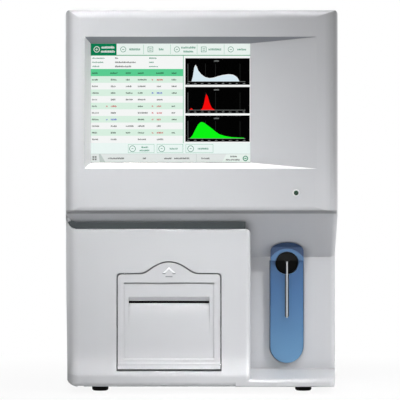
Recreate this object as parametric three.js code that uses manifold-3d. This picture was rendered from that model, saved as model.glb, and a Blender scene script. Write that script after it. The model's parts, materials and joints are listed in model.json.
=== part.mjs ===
// Benchtop hematology analyzer: touch screen above, slip printer below left, start key and
// sample probe in an open niche below right. Millimetres, +Z up, the front faces -Y.
// The origin is the middle of the base, on the surface that the feet stand on.
import * as THREE from "three";
import { ConvexGeometry } from "three/addons/geometries/ConvexGeometry.js";
import { mergeVertices } from "three/addons/utils/BufferGeometryUtils.js";
import Module from "manifold-3d";

const wasm = await Module();
wasm.setup();

// Envelope of the whole analyzer
const width = 361;
const depth = 430;
const height = 506;
const hoseReach = 14;
const groundGap = 8.5;

// Clearances that all pieces share
const gap = 0.3;
const slack = 0.5;
const overrun = 2;
const sheet = 2;
const weld = 0.0001;
const bite = 1;

// Facets of round forms
const roundSides = 20;
const smallSides = 10;
const arcSteps = 4;
const edgeSteps = 3;
const curlSteps = 8;
const wireSteps = 3;

// Front cover, one open-backed moulding. Depths are counted from the front plane.
const coverWall = 3;
const coverDepth = 110;
const coverPlanRadius = 20;
const coverTopRadius = 12;
const coverCornerRadius = 6;
const coverToeRadius = 2;
const lipRadius = 8;
const nicheDepth = 80;
const nicheWidth = 119.3;
const nicheRise = 4.5;
const nicheEdgeRadius = 7;
const shelfBackHeight = 27;
const shelfFrontHeight = 19;
const shelfEdgeRadius = 6;
const shelfTaper = 5.5;
const sideTaper = 3.4;
const taperDepth = 90;

// Lower left panel of the front cover, which flares forward to its toe
const panelCrownGap = 26;
const panelRiseShare = 0.23979;
const lipGap = 13;
const panelTopRadius = 8;
const panelEdgeRadius = 7;
const panelCornerRadius = 18;
const panelCornerDepth = 60;
const flareRadius = 95;
const flareAngle = THREE.MathUtils.degToRad(25);
const toeRadius = 10;
const toeHeight = 20.8;

// Screen recess: a shallow wall on three sides and a long ramp on the right
const screenWidth = 211.2;
const screenHeight = 158.4;
const screenInset = 33.5;
const faceBandShare = 0.44227;
const recessDepth = 12;
const recessLeftRun = 5.9;
const recessTopRun = 8.1;
const recessBottomRun = 6.9;
const rampInset = 27.5;
const glassThickness = 3;
const glassMargin = 3;
const moduleThickness = 11;
const bracketFlange = 8;
const bossRadius = 4;
const bossInset = 10;

// Indicator lamp
const lampInset = 56.1;
const lampBandShare = 0.3494;
const lampRadius = 3;
const lampFlange = 5.5;
const lampDome = 0.8;
const lampDepth = 11;
const domeShares = [0.5, 0.2];

// Slip printer
const doorWidth = 136.7;
const doorMarginShare = 0.65524;
const doorShoulder = 157.3;
const doorCrown = 173;
const doorCrownHalf = 38.6;
const crownStartShare = 0.7;
const crownTopShare = 0.5;
const doorCornerRadius = 5;
const doorWall = 3;
const doorGap = 0.6;
const hingeZ = 36.5;
const barrelRadius = 7;
const hingePinRadius = 1.5;
const insetHalf = 59.4;
const insetTop = 144.3;
const insetBottom = 45;
const insetDepth = 0.8;
const grooveHeight = 1.5;
const grooveDepth = 1.8;
const scoopHalf = 53.4;
const scoopTop = 128.5;
const scoopFoot = 73;
const scoopDepth = 5;
const slotTop = 122;
const slotHeight = 3;
const slotBlockMargin = 3;
const platenRadius = 5;
const platenShaftRadius = 2;
const platenZ = 117.5;
const paperWidth = 110;
const cheekThickness = 2;
const cheekHalfHeight = 7;
const rollRadius = 28;
const rollBore = 6.5;
const cradleRadius = 32;
const rollDepth = 64;
const rollZ = 82.3;
const bucketTop = 172;
const bucketHalf = 61;
const flangeMargin = 6;
const gearModule = 1;
const addendumShare = 0.9;
const dedendumShare = 1.15;
const platenTeeth = 16;
const driveTeeth = 12;
const gearWidth = 3.6;
const headThickness = 3.5;
const headBottom = 104;
const headTop = 128;
const postSize = 4;
const postReach = 7;
const motorFlangeHalf = 17;
const printerMotorRadius = 12;
const printerMotorLength = 18;
const printerShaftRadius = 1.5;

// Sampler: hood, start key, wiper, probe and its lift
const samplerInset = 65.7;
const keyHalfWidth = 22.2;
const keyBottom = 35.3;
const keyProud = 7;
const keyWall = 2.5;
const keyFlange = 2.5;
const keyTravel = 3;
const mouthRadius = 15.5;
const mouthZ = 170;
const hoodBottom = 173.5;
const hoodProud = 18;
const hoodPad = 1.5;
const hoodCrownHeight = 11.5;
const hoodCrown = 198;
const wiperSetback = 2;
const wiperRadius = 15;
const wiperDiscRadius = 19;
const wiperDisc = 2;
const probeRadius = 1.3;
const probeBore = 1.8;
const probeSetback = 13.5;
const probeTip = 96;
const probeTipLength = 6;
const probeTravel = 78;
const keySpringRadius = 4;
const keySpringWire = 0.6;
const keySpringTurns = 4;
const guideSetback = 13;
const guideHalf = 34;
const guideBottom = 44;
const guideTop = 156;
const guidePostRadius = 3;
const guidePostX = 30;
const guidePostInset = 7;
const switchWidth = 12;
const switchHeight = 7;
const switchZ = 64;
const rodRadius = 3;
const rodX = 11;
const rodDepth = 78;
const carriageHalf = 16;
const carriageFront = 60;
const carriageBack = 84;
const carriageRise = 17;
const carriageHeight = 22;
const liftPlateDepth = 92;
const liftPlateLeft = 27;
const liftPlateRight = 53;
const liftPlateDrop = 30;
const liftPlateRise = 14.7;
const lugThickness = 4;
const lugHalf = 18;
const lugDrop = 10;
const lugFront = 72;
const rodSpare = 24.3;
const beltX = 31;
const idlerRise = 2;
const driveDrop = 8.3;
const beltPitchRadius = 7.5;
const beltThickness = 0.9;
const beltWidth = 6;
const beltDepth = 82;
const pulleyFlange = 1;
const pulleyShaftRadius = 2.5;
const liftMotorHalf = 17.5;
const liftMotorDepth = 21;

// Side, top and rear covers, base and feet
const plateThickness = 2.5;
const topCoverHeight = 14;
const rearFlange = 12;
const rearSheet = 1.5;
const rearMargin = 6.5;
const baseInset = 8;
const baseFlange = 18;
const baseTongueInset = 24.5;
const footRadius = 11;
const footInset = 44.5;
const footFrontDepth = 50;
const footRearInset = 45;
const footSoleRadius = 8;
const footShares = [[0.9, 0.3], [1, 0.7]];
const footStemRadius = 2.5;
const footStemRise = 6;

// Inner frame and shelf
const frameDepth = 117;
const frameInset = 12.5;
const frameHeadroom = 22;
const frameFlange = 15;
const frameWindowInset = 48;
const frameWindowWidth = 120;
const frameWindowRise = 30;
const frameWindowDrop = 44;
const shelfZ = 300;
const shelfRearInset = 25;
const shelfLip = 12;

// Counting baths
const bathRadius = 18;
const bathWall = 2.5;
const bathBottom = 96;
const bathTop = 168;
const bathCone = 22;
const bathDrainRadius = 4;
const bathDrain = 8;
const bathSetback = 40;
const bathSpacing = 46;
const bathShelfZ = 130;
const bathStandHalf = 24;
const bathStandBackX = 34;

// Syringe unit
const syringeSpacing = 104.8;
const syringeSetback = 48;
const syringePlateHalf = 42;
const syringeTop = 233.2;
const syringeMotorHalf = 21;
const syringeMotorOffset = 1.2;
const syringeMotorHeight = 38;
const screwRadius = 4;
const screwTop = 135.2;
const bridgeZ = 73.2;
const bridgeThickness = 8;
const bridgeHalf = 34;
const bridgeDepth = 24;
const plungerX = 22;
const plungerRadius = 3;
const pistonLength = 8;
const plungerTop = 157.2;
const barrelBottom = 141.2;
const barrelTop = 227.2;
const diluentBarrelRadius = 11;
const sampleBarrelRadius = 7;
const barrelWall = 2;
const blockHeight = 8;
const blockDepth = 30;
const lowerBlockZ = 131.2;
const portRadius = 2;

// Valves and pumps
const manifoldInset = 19;
const manifoldWidth = 26;
const manifoldHeight = 30;
const manifoldLength = 156;
const manifoldSetback = 38;
const valveCount = 6;
const valveRadius = 9;
const valveHeight = 30;
const pumpRadius = 23;
const pumpLength = 70;
const pumpHeadLength = 26;
const pumpHeadHalf = 28;
const pumpCradle = 8;
const pumpPortRadius = 3;
const pumpPortShares = [0.5, 1.5];
const pumpInset = 85.5;
const pumpRearInset = 71;
const pumpSpacing = 90;

// Electronics
const boardThickness = 1.6;
const boardInset = 30.5;
const boardSupplyGap = 22;
const boardSetback = 28;
const boardRearInset = 91;
const standoffHeight = 8;
const standoffRadius = 3;
const standoffInset = 8;
const chipHeight = 4;
const chipSize = 26;
const supplyInset = 20.5;
const supplyWidth = 98;
const supplySetback = 58;
const supplyRearInset = 81;
const supplyHeight = 42;
const supplyCover = 1.5;
const fanSize = 80;
const fanDepth = 25;
const fanInset = 80.5;
const fanDrop = 76;
const fanBore = 37;
const fanHubRadius = 18;
const fanBladeCount = 7;
const fanBladeTip = 35;
const fanBladeThickness = 2;
const fanBladePitch = THREE.MathUtils.degToRad(38);
const fanHubDepth = 19;
const fanStrutWidth = 4;
const fanScrewInset = 4.5;
const grilleRings = 4;
const grilleSides = 16;
const grilleBar = 3;
const inletInset = 52.5;
const inletZ = 66;
const inletWidth = 48;
const inletHeight = 27;
const inletDepth = 30;
const inletWell = 18;
const inletFace = 2.5;
const inletPinWidth = 2;
const inletPinHeight = 6;
const inletPinLength = 15;
const inletPinSpacing = 7;
const wellShares = [0.8, 0.75, 0.7];
const switchSpacing = 48;
const rockerWidth = 13;
const rockerHeight = 19;
const rockerDepth = 14;
const rockerTilt = THREE.MathUtils.degToRad(12);
const portsInset = 40.5;
const portsWidth = 110;
const portsRise = 40;
const portsHeight = 18;
const portsDepth = 16;
const portCount = 4;
const portWidth = 16;
const portHeight = 9;
const hoseCount = 4;
const hoseInset = 110.5;
const hoseSpacing = 24;
const hoseZ = 76;
const hosePlateHeight = 34;
const hosePlateThickness = 5;
const barbRadius = 4.5;
const barbNeckShare = 0.72;
const barbBore = 1.6;
const barbCount = 3;

// Places that follow from the sizes above
const halfWidth = width / 2;
const frontY = -depth / 2;
const rearY = depth / 2 - hoseReach;
const floorZ = groundGap + sheet;
const nicheTop = hoodBottom + nicheRise;
const panelRight = halfWidth - nicheWidth;
const printerX = (width - nicheWidth - doorWidth) * doorMarginShare + doorWidth / 2 - halfWidth;
const recessHeight = recessBottomRun + screenHeight + recessTopRun;
const freeHeight = height - doorCrown - panelCrownGap - lipGap - lipRadius - recessHeight;
const panelTop = doorCrown + panelCrownGap + freeHeight * panelRiseShare;
const faceBottom = panelTop + lipGap + lipRadius;
const faceBand = freeHeight * faceBandShare;
const flareStart = toeHeight + (flareRadius + toeRadius) * Math.sin(flareAngle);
const panelSetback = (flareRadius + toeRadius) * (1 - Math.cos(flareAngle));
const lipBottom = faceBottom - lipRadius;
const slopeRise = (lipBottom - nicheTop) / (nicheDepth - lipRadius);
const slopeStretch = Math.hypot(1, slopeRise);
const screenLeft = screenInset - halfWidth;
const screenRight = screenLeft + screenWidth;
const screenBottom = faceBottom + faceBand + recessBottomRun;
const screenTop = screenBottom + screenHeight;
const rampRun = halfWidth - rampInset - screenRight;
const lampX = halfWidth - lampInset;
const lampZ = faceBottom + faceBand * lampBandShare;
const glassFront = recessDepth + coverWall + gap;
const moduleFront = glassFront + glassThickness + gap;
const bracketFront = moduleFront + moduleThickness + gap;
const doorFace = panelSetback;
const platenDepth = doorFace + scoopDepth + doorWall + slack + slack + platenRadius;
const driveDepth = platenDepth + gearModule * (platenTeeth + driveTeeth) / 2 + gap;
const hingeDepth = faceDepthAt(hingeZ) + barrelRadius;
const bucketFront = doorFace + doorWall + gap + gap + sheet;
const rollAxisZ = rollZ + cradleRadius - rollRadius - gap;
const cheekStart = paperWidth / 2 + slack + gap;
const samplerX = halfWidth - samplerInset;
const keyFace = nicheDepth - keyProud;
const hoodFace = nicheDepth - hoodProud;
const probeDepth = nicheDepth - probeSetback;
const keyFlangeFront = nicheDepth + coverWall + gap;
const keyBack = keyFlangeFront + keyFlange;
const guideDepth = nicheDepth + guideSetback;
const carriageBottom = mouthZ + wiperDiscRadius + carriageRise;
const lugBottom = carriageBottom - lugDrop;
const rodTop = carriageBottom + carriageHeight + probeTravel + rodSpare;
const beltLow = carriageBottom + idlerRise;
const beltHigh = rodTop - driveDrop;
const frameY = frontY + frameDepth;
const frameHalf = halfWidth - frameInset;
const frameTop = height - frameHeadroom;
const bathFrontY = frameY + bathSetback;
const manifoldX = halfWidth - manifoldInset;
const manifoldFrontY = frameY + manifoldSetback;
const vacuumPumpY = rearY - pumpRearInset;
const supplyLeft = halfWidth - supplyInset - supplyWidth;
const fanX = halfWidth - fanInset;
const fanZ = height - fanDrop;
const inletX = inletInset - halfWidth;
const switchX = inletX + switchSpacing;
const portsLeft = portsInset - halfWidth;
const portsRight = portsLeft + portsWidth;
const portsZ = shelfZ + portsRise;
const hoseX = halfWidth - hoseInset;

// Depth of the panel face at a height: plumb above the flare, swept forward below it
function faceDepthAt(z) {
  if (z >= flareStart) return panelSetback;
  return panelSetback - flareRadius + Math.sqrt(flareRadius ** 2 - (flareStart - z) ** 2);
}

// Turns a closed geometry into a solid that can be joined and cut
function solid(geometry) {
  const bare = geometry.index ? geometry.toNonIndexed() : geometry.clone();
  for (const name of Object.keys(bare.attributes)) if (name !== "position") bare.deleteAttribute(name);
  const merged = mergeVertices(bare, weld);
  return new wasm.Manifold(
    new wasm.Mesh({
      numProp: 3,
      vertProperties: new Float32Array(merged.attributes.position.array),
      triVerts: new Uint32Array(merged.index.array),
    }),
  );
}

function geometryOf(body) {
  const mesh = body.getMesh();
  const geometry = new THREE.BufferGeometry();
  geometry.setAttribute("position", new THREE.BufferAttribute(mesh.vertProperties, mesh.numProp));
  geometry.setIndex(new THREE.BufferAttribute(mesh.triVerts, 1));
  const flat = geometry.toNonIndexed();
  flat.computeVertexNormals();
  return flat;
}

function join(...bodies) {
  return bodies.reduce((sum, body) => sum.add(body));
}

function box([x0, x1], [y0, y1], [z0, z1]) {
  const geometry = new THREE.BoxGeometry(x1 - x0, y1 - y0, z1 - z0);
  return solid(geometry.translate((x0 + x1) / 2, (y0 + y1) / 2, (z0 + z1) / 2));
}

// Prisms of an outline: the outline is (x, y) for Z, (x, z) for Y and (y, z) for X
function prismZ(shape, [low, high], steps = arcSteps) {
  const settings = { depth: high - low, bevelEnabled: false, curveSegments: steps };
  return solid(new THREE.ExtrudeGeometry(shape, settings).translate(0, 0, low));
}

function prismY(shape, [low, high], steps = arcSteps) {
  const settings = { depth: high - low, bevelEnabled: false, curveSegments: steps };
  const geometry = new THREE.ExtrudeGeometry(shape, settings).rotateX(Math.PI / 2);
  return solid(geometry.translate(0, high, 0));
}

function prismX(shape, [low, high], steps = arcSteps) {
  const settings = { depth: high - low, bevelEnabled: false, curveSegments: steps };
  const turn = new THREE.Matrix4().makeBasis(
    new THREE.Vector3(0, 1, 0),
    new THREE.Vector3(0, 0, 1),
    new THREE.Vector3(1, 0, 0),
  );
  const geometry = new THREE.ExtrudeGeometry(shape, settings).applyMatrix4(turn);
  return solid(geometry.translate(low, 0, 0));
}

// Round bars along each axis: centre is given in the two other axes
function barX(radius, [low, high], [y, z], sides = smallSides) {
  const geometry = new THREE.CylinderGeometry(radius, radius, high - low, sides).rotateZ(Math.PI / 2);
  return solid(geometry.translate((low + high) / 2, y, z));
}

function barY(radius, [low, high], [x, z], sides = smallSides) {
  const geometry = new THREE.CylinderGeometry(radius, radius, high - low, sides);
  return solid(geometry.translate(x, (low + high) / 2, z));
}

function barZ(radius, [low, high], [x, y], sides = smallSides) {
  const geometry = new THREE.CylinderGeometry(radius, radius, high - low, sides).rotateX(Math.PI / 2);
  return solid(geometry.translate(x, y, (low + high) / 2));
}

// A turned form round a vertical axis, from (radius, height) points that start and end on it
function turned(points, sides = roundSides) {
  const profile = points.map(([radius, z]) => new THREE.Vector2(radius, z));
  return solid(new THREE.LatheGeometry(profile, sides).rotateX(Math.PI / 2));
}

function polygon(points) {
  return new THREE.Shape(points.map(([x, y]) => new THREE.Vector2(x, y)));
}

function rectangle([x0, x1], [y0, y1]) {
  return polygon([[x0, y0], [x1, y0], [x1, y1], [x0, y1]]);
}

// A rectangle whose corners have radii: lower left, lower right, upper right, upper left
function softRectangle([x0, x1], [y0, y1], [a, b, c, d]) {
  const shape = new THREE.Shape();
  shape.moveTo(x0 + a, y0);
  shape.lineTo(x1 - b, y0);
  if (b) shape.absarc(x1 - b, y0 + b, b, -Math.PI / 2, 0);
  shape.lineTo(x1, y1 - c);
  if (c) shape.absarc(x1 - c, y1 - c, c, 0, Math.PI / 2);
  shape.lineTo(x0 + d, y1);
  if (d) shape.absarc(x0 + d, y1 - d, d, Math.PI / 2, Math.PI);
  shape.lineTo(x0, y0 + a);
  if (a) shape.absarc(x0 + a, y0 + a, a, Math.PI, 1.5 * Math.PI);
  return shape;
}

// An upright stadium: a rectangle with half-round ends
function stadium(radius, [low, high], x) {
  const shape = new THREE.Shape();
  shape.absarc(x, low, radius, Math.PI, 2 * Math.PI);
  shape.absarc(x, high, radius, 0, Math.PI);
  return shape;
}

function hull(points) {
  return solid(new ConvexGeometry(points.map(([x, y, z]) => new THREE.Vector3(x, y, z))));
}

// Points of an outline, counterclockwise and without doubled ones
function outlinePoints(shape) {
  const points = shape.getPoints(arcSteps).filter((point, index, all) => {
    const before = all[(index + all.length - 1) % all.length];
    return point.distanceTo(before) > weld;
  });
  return THREE.ShapeUtils.isClockWise(points) ? points.reverse() : points;
}

// A skin over outlines of equal point counts that stand at stations along X
function loft(stations) {
  const count = stations[0][1].length;
  const corners = stations.flatMap(([x, points]) => points.map((point) => [x, point.x, point.y]));
  const faces = [];
  for (let row = 0; row < stations.length - 1; row++) {
    for (let index = 0; index < count; index++) {
      const a = row * count + index;
      const b = row * count + ((index + 1) % count);
      faces.push([a, b, b + count], [a, b + count, a + count]);
    }
  }
  const end = (stations.length - 1) * count;
  for (const [a, b, c] of THREE.ShapeUtils.triangulateShape(stations[0][1], [])) {
    faces.push([c, b, a], [end + a, end + b, end + c]);
  }
  const geometry = new THREE.BufferGeometry();
  geometry.setAttribute("position", new THREE.Float32BufferAttribute(corners.flat(), 3));
  geometry.setIndex(faces.flat());
  return solid(geometry);
}

// A spur gear outline with straight-flanked teeth
function gearOutline(teeth, module, turn) {
  const pitch = (teeth * module) / 2;
  const tip = pitch + addendumShare * module;
  const root = pitch - dedendumShare * module;
  const flankShares = [[root, -0.36], [tip, -0.16], [tip, 0.16], [root, 0.36]];
  const points = [];
  for (let tooth = 0; tooth < teeth; tooth++) {
    for (const [radius, share] of flankShares) {
      const angle = ((tooth + share) / teeth) * 2 * Math.PI + turn;
      points.push([radius * Math.cos(angle), radius * Math.sin(angle)]);
    }
  }
  return polygon(points);
}

// Finishes
function finish(color, roughness, metalness = 0) {
  return new THREE.MeshStandardMaterial({ color, roughness, metalness });
}
const silverPlastic = finish(0xd3d5d8, 0.38);
const paintedSteel = finish(0xc9ccd0, 0.45, 0.2);
const zincSteel = finish(0xa9adb0, 0.4, 0.9);
const blackPlastic = finish(0x1a1a1a, 0.45);
const bluePlastic = finish(0x5d89b0, 0.35);
const greyPlastic = finish(0x8d9195, 0.5);
const rubber = finish(0x111111, 0.8);
const screenGlass = finish(0x0c1512, 0.15);
const polishedSteel = finish(0xc8cacc, 0.15, 1);
const brass = finish(0xb5984e, 0.3, 1);
const boardGreen = finish(0x1e6b43, 0.6);
const paper = finish(0xf4f3ee, 0.9);
const clearAcrylic = finish(0xd9e4e6, 0.1);
const greenLens = finish(0x1c6b42, 0.2);

const analyzer = new THREE.Group();
const front = groupAt(analyzer, 0, frontY, 0);
const printer = groupAt(front, printerX, 0, 0);
const sampler = groupAt(front, samplerX, 0, 0);
const body = groupAt(analyzer, 0, 0, 0);
const floor = groupAt(analyzer, 0, 0, floorZ + gap);
const shelfTop = groupAt(analyzer, 0, 0, shelfZ + sheet + gap);
const rear = groupAt(analyzer, 0, rearY, 0);

function groupAt(parent, x, y, z) {
  const group = new THREE.Group();
  group.position.set(x, y, z);
  parent.add(group);
  return group;
}

function addPiece(group, name, form, material) {
  const mesh = new THREE.Mesh(geometryOf(form), material);
  mesh.name = name;
  group.add(mesh);
  return mesh;
}

// The front cover's outer form, or with an inset the hollow behind its wall.
// An inset form also runs out of the open back and bottom.
function coverForm(inset) {
  const run = inset ? overrun : 0;
  const left = join(coverPanel(inset, run), coverPanelBack(inset, run));
  const bodyForm = join(coverUpper(inset, run), left).intersect(coverPlan(inset, run));
  const right = join(coverNicheWall(inset, run), coverShelf(inset, run));
  return join(bodyForm.subtract(sideWedge(-1, sideTaper, inset)), right).intersect(coverFront(inset, run));
}

// Line of the overhang's slope, moved into the material by the inset
function slopeHeight(d, inset) {
  return lipBottom - slopeRise * (d - lipRadius) + inset * slopeStretch;
}

function coverUpper(inset, run) {
  const top = height - inset;
  const back = coverDepth + run;
  const kink = lipRadius + (inset * (slopeStretch - 1)) / slopeRise;
  const shape = new THREE.Shape();
  shape.moveTo(back, top);
  shape.lineTo(coverTopRadius, top);
  shape.absarc(coverTopRadius, height - coverTopRadius, coverTopRadius - inset, Math.PI / 2, Math.PI);
  shape.absarc(lipRadius, faceBottom, lipRadius - inset, Math.PI, 1.5 * Math.PI);
  shape.lineTo(kink, lipBottom + inset);
  shape.lineTo(nicheDepth + inset, slopeHeight(nicheDepth + inset, inset));
  shape.lineTo(back, slopeHeight(nicheDepth + inset, inset));
  return prismX(shape, [-halfWidth + inset, halfWidth - inset]);
}

function coverNicheWall(inset, run) {
  const outline = softRectangle(
    [panelRight - coverPlanRadius, halfWidth - inset],
    [nicheDepth + inset, coverDepth + run],
    [0, nicheEdgeRadius - inset, 0, 0],
  );
  return prismZ(outline, [groundGap - run, nicheTop + lipRadius]);
}

// The shelf slopes down to the front and has a rounded front edge
function coverShelf(inset, run) {
  const rise = (shelfBackHeight - shelfFrontHeight) / nicheDepth;
  const stretch = Math.hypot(1, rise);
  const centreZ = shelfFrontHeight + rise * shelfEdgeRadius - shelfEdgeRadius * stretch;
  const radius = shelfEdgeRadius - inset;
  const back = nicheDepth + inset + overrun;
  const low = groundGap - run;
  const toe = inset ? 0 : coverToeRadius;
  const shape = new THREE.Shape();
  shape.moveTo(back, low);
  shape.lineTo(inset + toe, low);
  if (toe) shape.absarc(toe, low + toe, toe, 1.5 * Math.PI, Math.PI, true);
  shape.absarc(shelfEdgeRadius, centreZ, radius, Math.PI, Math.PI / 2 + Math.atan(rise), true);
  shape.lineTo(back, shelfFrontHeight + rise * back - inset * stretch);
  const bar = prismX(shape, [panelRight - coverPlanRadius, halfWidth - inset]);
  return bar.intersect(shelfPlan(inset, run));
}

function shelfPlan(inset, run) {
  const right = halfWidth - shelfTaper - inset;
  const radius = nicheEdgeRadius - inset;
  const shape = new THREE.Shape();
  shape.moveTo(panelRight - coverPlanRadius, coverDepth);
  shape.lineTo(panelRight - coverPlanRadius, inset);
  shape.absarc(right - radius, inset + radius, radius, -Math.PI / 2, 0);
  shape.lineTo(halfWidth - inset, nicheDepth);
  shape.lineTo(halfWidth - inset, coverDepth);
  return prismZ(shape, [groundGap - run, shelfBackHeight + lipRadius]);
}

// Side view of the panel: toe, forward flare, plumb face and rounded top edge
function panelProfile(inset, run) {
  const low = groundGap - run;
  const back = panelCornerDepth + coverWall + overrun;
  const toe = coverToeRadius;
  const shape = new THREE.Shape();
  shape.moveTo(back, low);
  shape.lineTo(inset + toe, low);
  shape.absarc(inset + toe, low + toe, toe, 1.5 * Math.PI, Math.PI, true);
  shape.absarc(toeRadius, toeHeight, toeRadius - inset, Math.PI, Math.PI - flareAngle, true);
  shape.absarc(panelSetback - flareRadius, flareStart, flareRadius + inset, -flareAngle, 0);
  const centre = panelSetback + panelTopRadius;
  shape.absarc(centre, panelTop - panelTopRadius, panelTopRadius - inset, Math.PI, Math.PI / 2, true);
  shape.lineTo(back, panelTop - inset);
  return shape;
}

// The panel's side view carried across, with its right edge rounded off along the profile
function coverPanel(inset, run) {
  const radius = panelEdgeRadius - inset;
  const stations = [[-halfWidth + inset, inset]];
  for (let step = 0; step <= edgeSteps; step++) {
    const angle = (step / edgeSteps) * (Math.PI / 2);
    const x = panelRight - panelEdgeRadius + radius * Math.sin(angle);
    stations.push([x, inset + radius * (1 - Math.cos(angle))]);
  }
  const form = loft(stations.map(([x, deep]) => [x, outlinePoints(panelProfile(deep, run))]));
  const back = panelCornerDepth + inset + overrun;
  if (inset) return form.intersect(panelCorner(inset, back, panelTop));
  const cornerOutline = softRectangle(
    [-halfWidth, panelRight], [groundGap, panelTop], [panelCornerRadius, 0, 0, 0],
  );
  return form.intersect(prismY(cornerOutline, [-overrun, back]));
}

// The hollow behind the rounded lower left corner
function panelCorner(inset, back, top) {
  const outline = new THREE.Shape();
  const radius = panelCornerRadius - inset;
  outline.moveTo(panelRight, top);
  outline.lineTo(-halfWidth + inset, top);
  outline.absarc(
    -halfWidth + panelCornerRadius, groundGap + panelCornerRadius, radius, Math.PI, 1.4 * Math.PI,
  );
  outline.lineTo(-halfWidth + panelCornerRadius, groundGap - overrun);
  outline.lineTo(panelRight, groundGap - overrun);
  return prismY(outline, [-overrun, back]);
}

function coverPanelBack(inset, run) {
  return box(
    [-halfWidth + inset, panelRight - inset],
    [panelCornerDepth + inset, coverDepth + run],
    [groundGap - run, panelTop - inset],
  );
}

function coverPlan(inset, run) {
  const radius = coverPlanRadius - inset;
  const outline = softRectangle(
    [-halfWidth + inset, halfWidth - inset],
    [inset, coverDepth + run],
    [radius, radius, 0, 0],
  );
  return prismZ(outline, [-overrun, height]);
}

function coverFront(inset, run) {
  const radius = coverCornerRadius - inset;
  const foot = inset ? 0 : radius;
  const outline = softRectangle(
    [-halfWidth + inset, halfWidth - inset],
    [groundGap - run, height - inset],
    [foot, foot, radius, radius],
  );
  return prismY(outline, [-overrun, coverDepth + run]);
}

// The slim wedge by which the cover narrows towards its lower front
function sideWedge(side, taper, inset) {
  const x = side * (halfWidth - inset);
  const out = side * overrun;
  const low = groundGap - overrun;
  return hull([
    [x, -overrun, faceBottom], [x, taperDepth, low], [x - side * taper, -overrun, low],
    [x + out, -overrun, faceBottom], [x + out, taperDepth, low], [x + out, -overrun, low],
  ]);
}

// The screen recess, grown by a wall thickness for the moulding's back
function screenRecess(grow) {
  const outer = [
    [screenLeft - recessLeftRun - grow, screenRight + rampRun + grow],
    [screenBottom - recessBottomRun - grow, screenTop + recessTopRun + grow],
  ];
  const inner = [[screenLeft - grow, screenRight + grow], [screenBottom - grow, screenTop + grow]];
  const points = [];
  for (const [[x0, x1], [z0, z1], d] of [
    [...outer, -overrun], [...outer, grow], [...inner, recessDepth + grow],
  ]) {
    points.push([x0, d, z0], [x1, d, z0], [x0, d, z1], [x1, d, z1]);
  }
  return hull(points);
}

// Depth of the recess's surface level with the screen: full behind it, none past its runs
function recessDepthAt(x) {
  const offset = Math.max(screenLeft - x, x - screenRight, 0);
  const run = x < screenLeft ? recessLeftRun : rampRun;
  return recessDepth * Math.max(1 - offset / run, 0);
}

function displayBosses() {
  const places = [];
  for (const x of [screenLeft - bossInset - glassMargin, screenRight + bossInset + glassMargin]) {
    for (const z of [screenBottom + bossInset, screenTop - bossInset]) places.push([x, z]);
  }
  return places;
}

// Outline of the printer door: square shoulders and a low crown in the middle
function doorOutline(grow, low) {
  const half = doorWidth / 2 + grow;
  const shoulder = doorShoulder + grow;
  const crown = doorCrown + grow;
  const radius = doorCornerRadius;
  const crownHalf = doorCrownHalf + grow;
  const start = crownStartShare * crownHalf;
  const pull = crownTopShare * crownHalf;
  const shape = new THREE.Shape();
  shape.moveTo(-half, low);
  shape.lineTo(half, low);
  shape.absarc(half - radius, shoulder - radius, radius, 0, Math.PI / 2);
  shape.lineTo(crownHalf, shoulder);
  shape.bezierCurveTo(start, shoulder, pull, crown, 0, crown);
  shape.bezierCurveTo(-pull, crown, -start, shoulder, -crownHalf, shoulder);
  shape.absarc(-half + radius, shoulder - radius, radius, Math.PI / 2, Math.PI);
  return shape;
}

// Front outline of the start key with its mouth, grown for its cut-out and its flange
function keyOutline(grow) {
  const radius = keyHalfWidth + grow;
  const shape = new THREE.Shape();
  shape.moveTo(radius, hoodBottom - gap + grow);
  shape.lineTo(-radius, hoodBottom - gap + grow);
  shape.absarc(0, keyBottom + keyHalfWidth, radius, Math.PI, 2 * Math.PI);
  return shape;
}

function samplerOpenings() {
  const reach = [hoodFace, guideDepth];
  const keyHole = prismY(keyOutline(slack), reach, 2 * arcSteps);
  const mouth = barY(mouthRadius, reach, [0, mouthZ], roundSides);
  const probeHole = barZ(2 * probeBore, [hoodBottom, lugBottom], [0, probeDepth]);
  return join(keyHole, mouth, probeHole).translate([samplerX, 0, 0]);
}

function guidePosts(x) {
  const places = [];
  for (const side of [-guidePostX, guidePostX]) {
    for (const z of [guideBottom + guidePostInset, guideTop - guidePostInset]) places.push([x + side, z]);
  }
  return places;
}

function frontCover() {
  const hollow = coverForm(coverWall).subtract(screenRecess(coverWall));
  let form = coverForm(0).subtract(hollow).subtract(screenRecess(0));
  for (const place of displayBosses()) {
    const start = recessDepthAt(place[0]) + coverWall / 2;
    form = form.add(barY(bossRadius, [start, bracketFront - gap], place));
  }
  for (const place of guidePosts(samplerX)) {
    form = form.add(barY(guidePostRadius, [nicheDepth + overrun / 2, guideDepth - gap], place));
  }
  form = form.subtract(box(
    [screenLeft, screenRight], [0, bracketFront], [screenBottom, screenTop],
  ));
  const outline = doorOutline(doorGap, hingeZ - barrelRadius - doorGap);
  const door = prismY(outline, [-overrun, bucketFront], 2 * arcSteps);
  form = form.subtract(door.translate([printerX, 0, 0]));
  form = form.subtract(samplerOpenings());
  return form.subtract(barY(lampRadius + gap, [-overrun, lampFlange], [lampX, lampZ], smallSides));
}
addPiece(front, "front_cover", frontCover(), silverPlastic);

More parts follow.
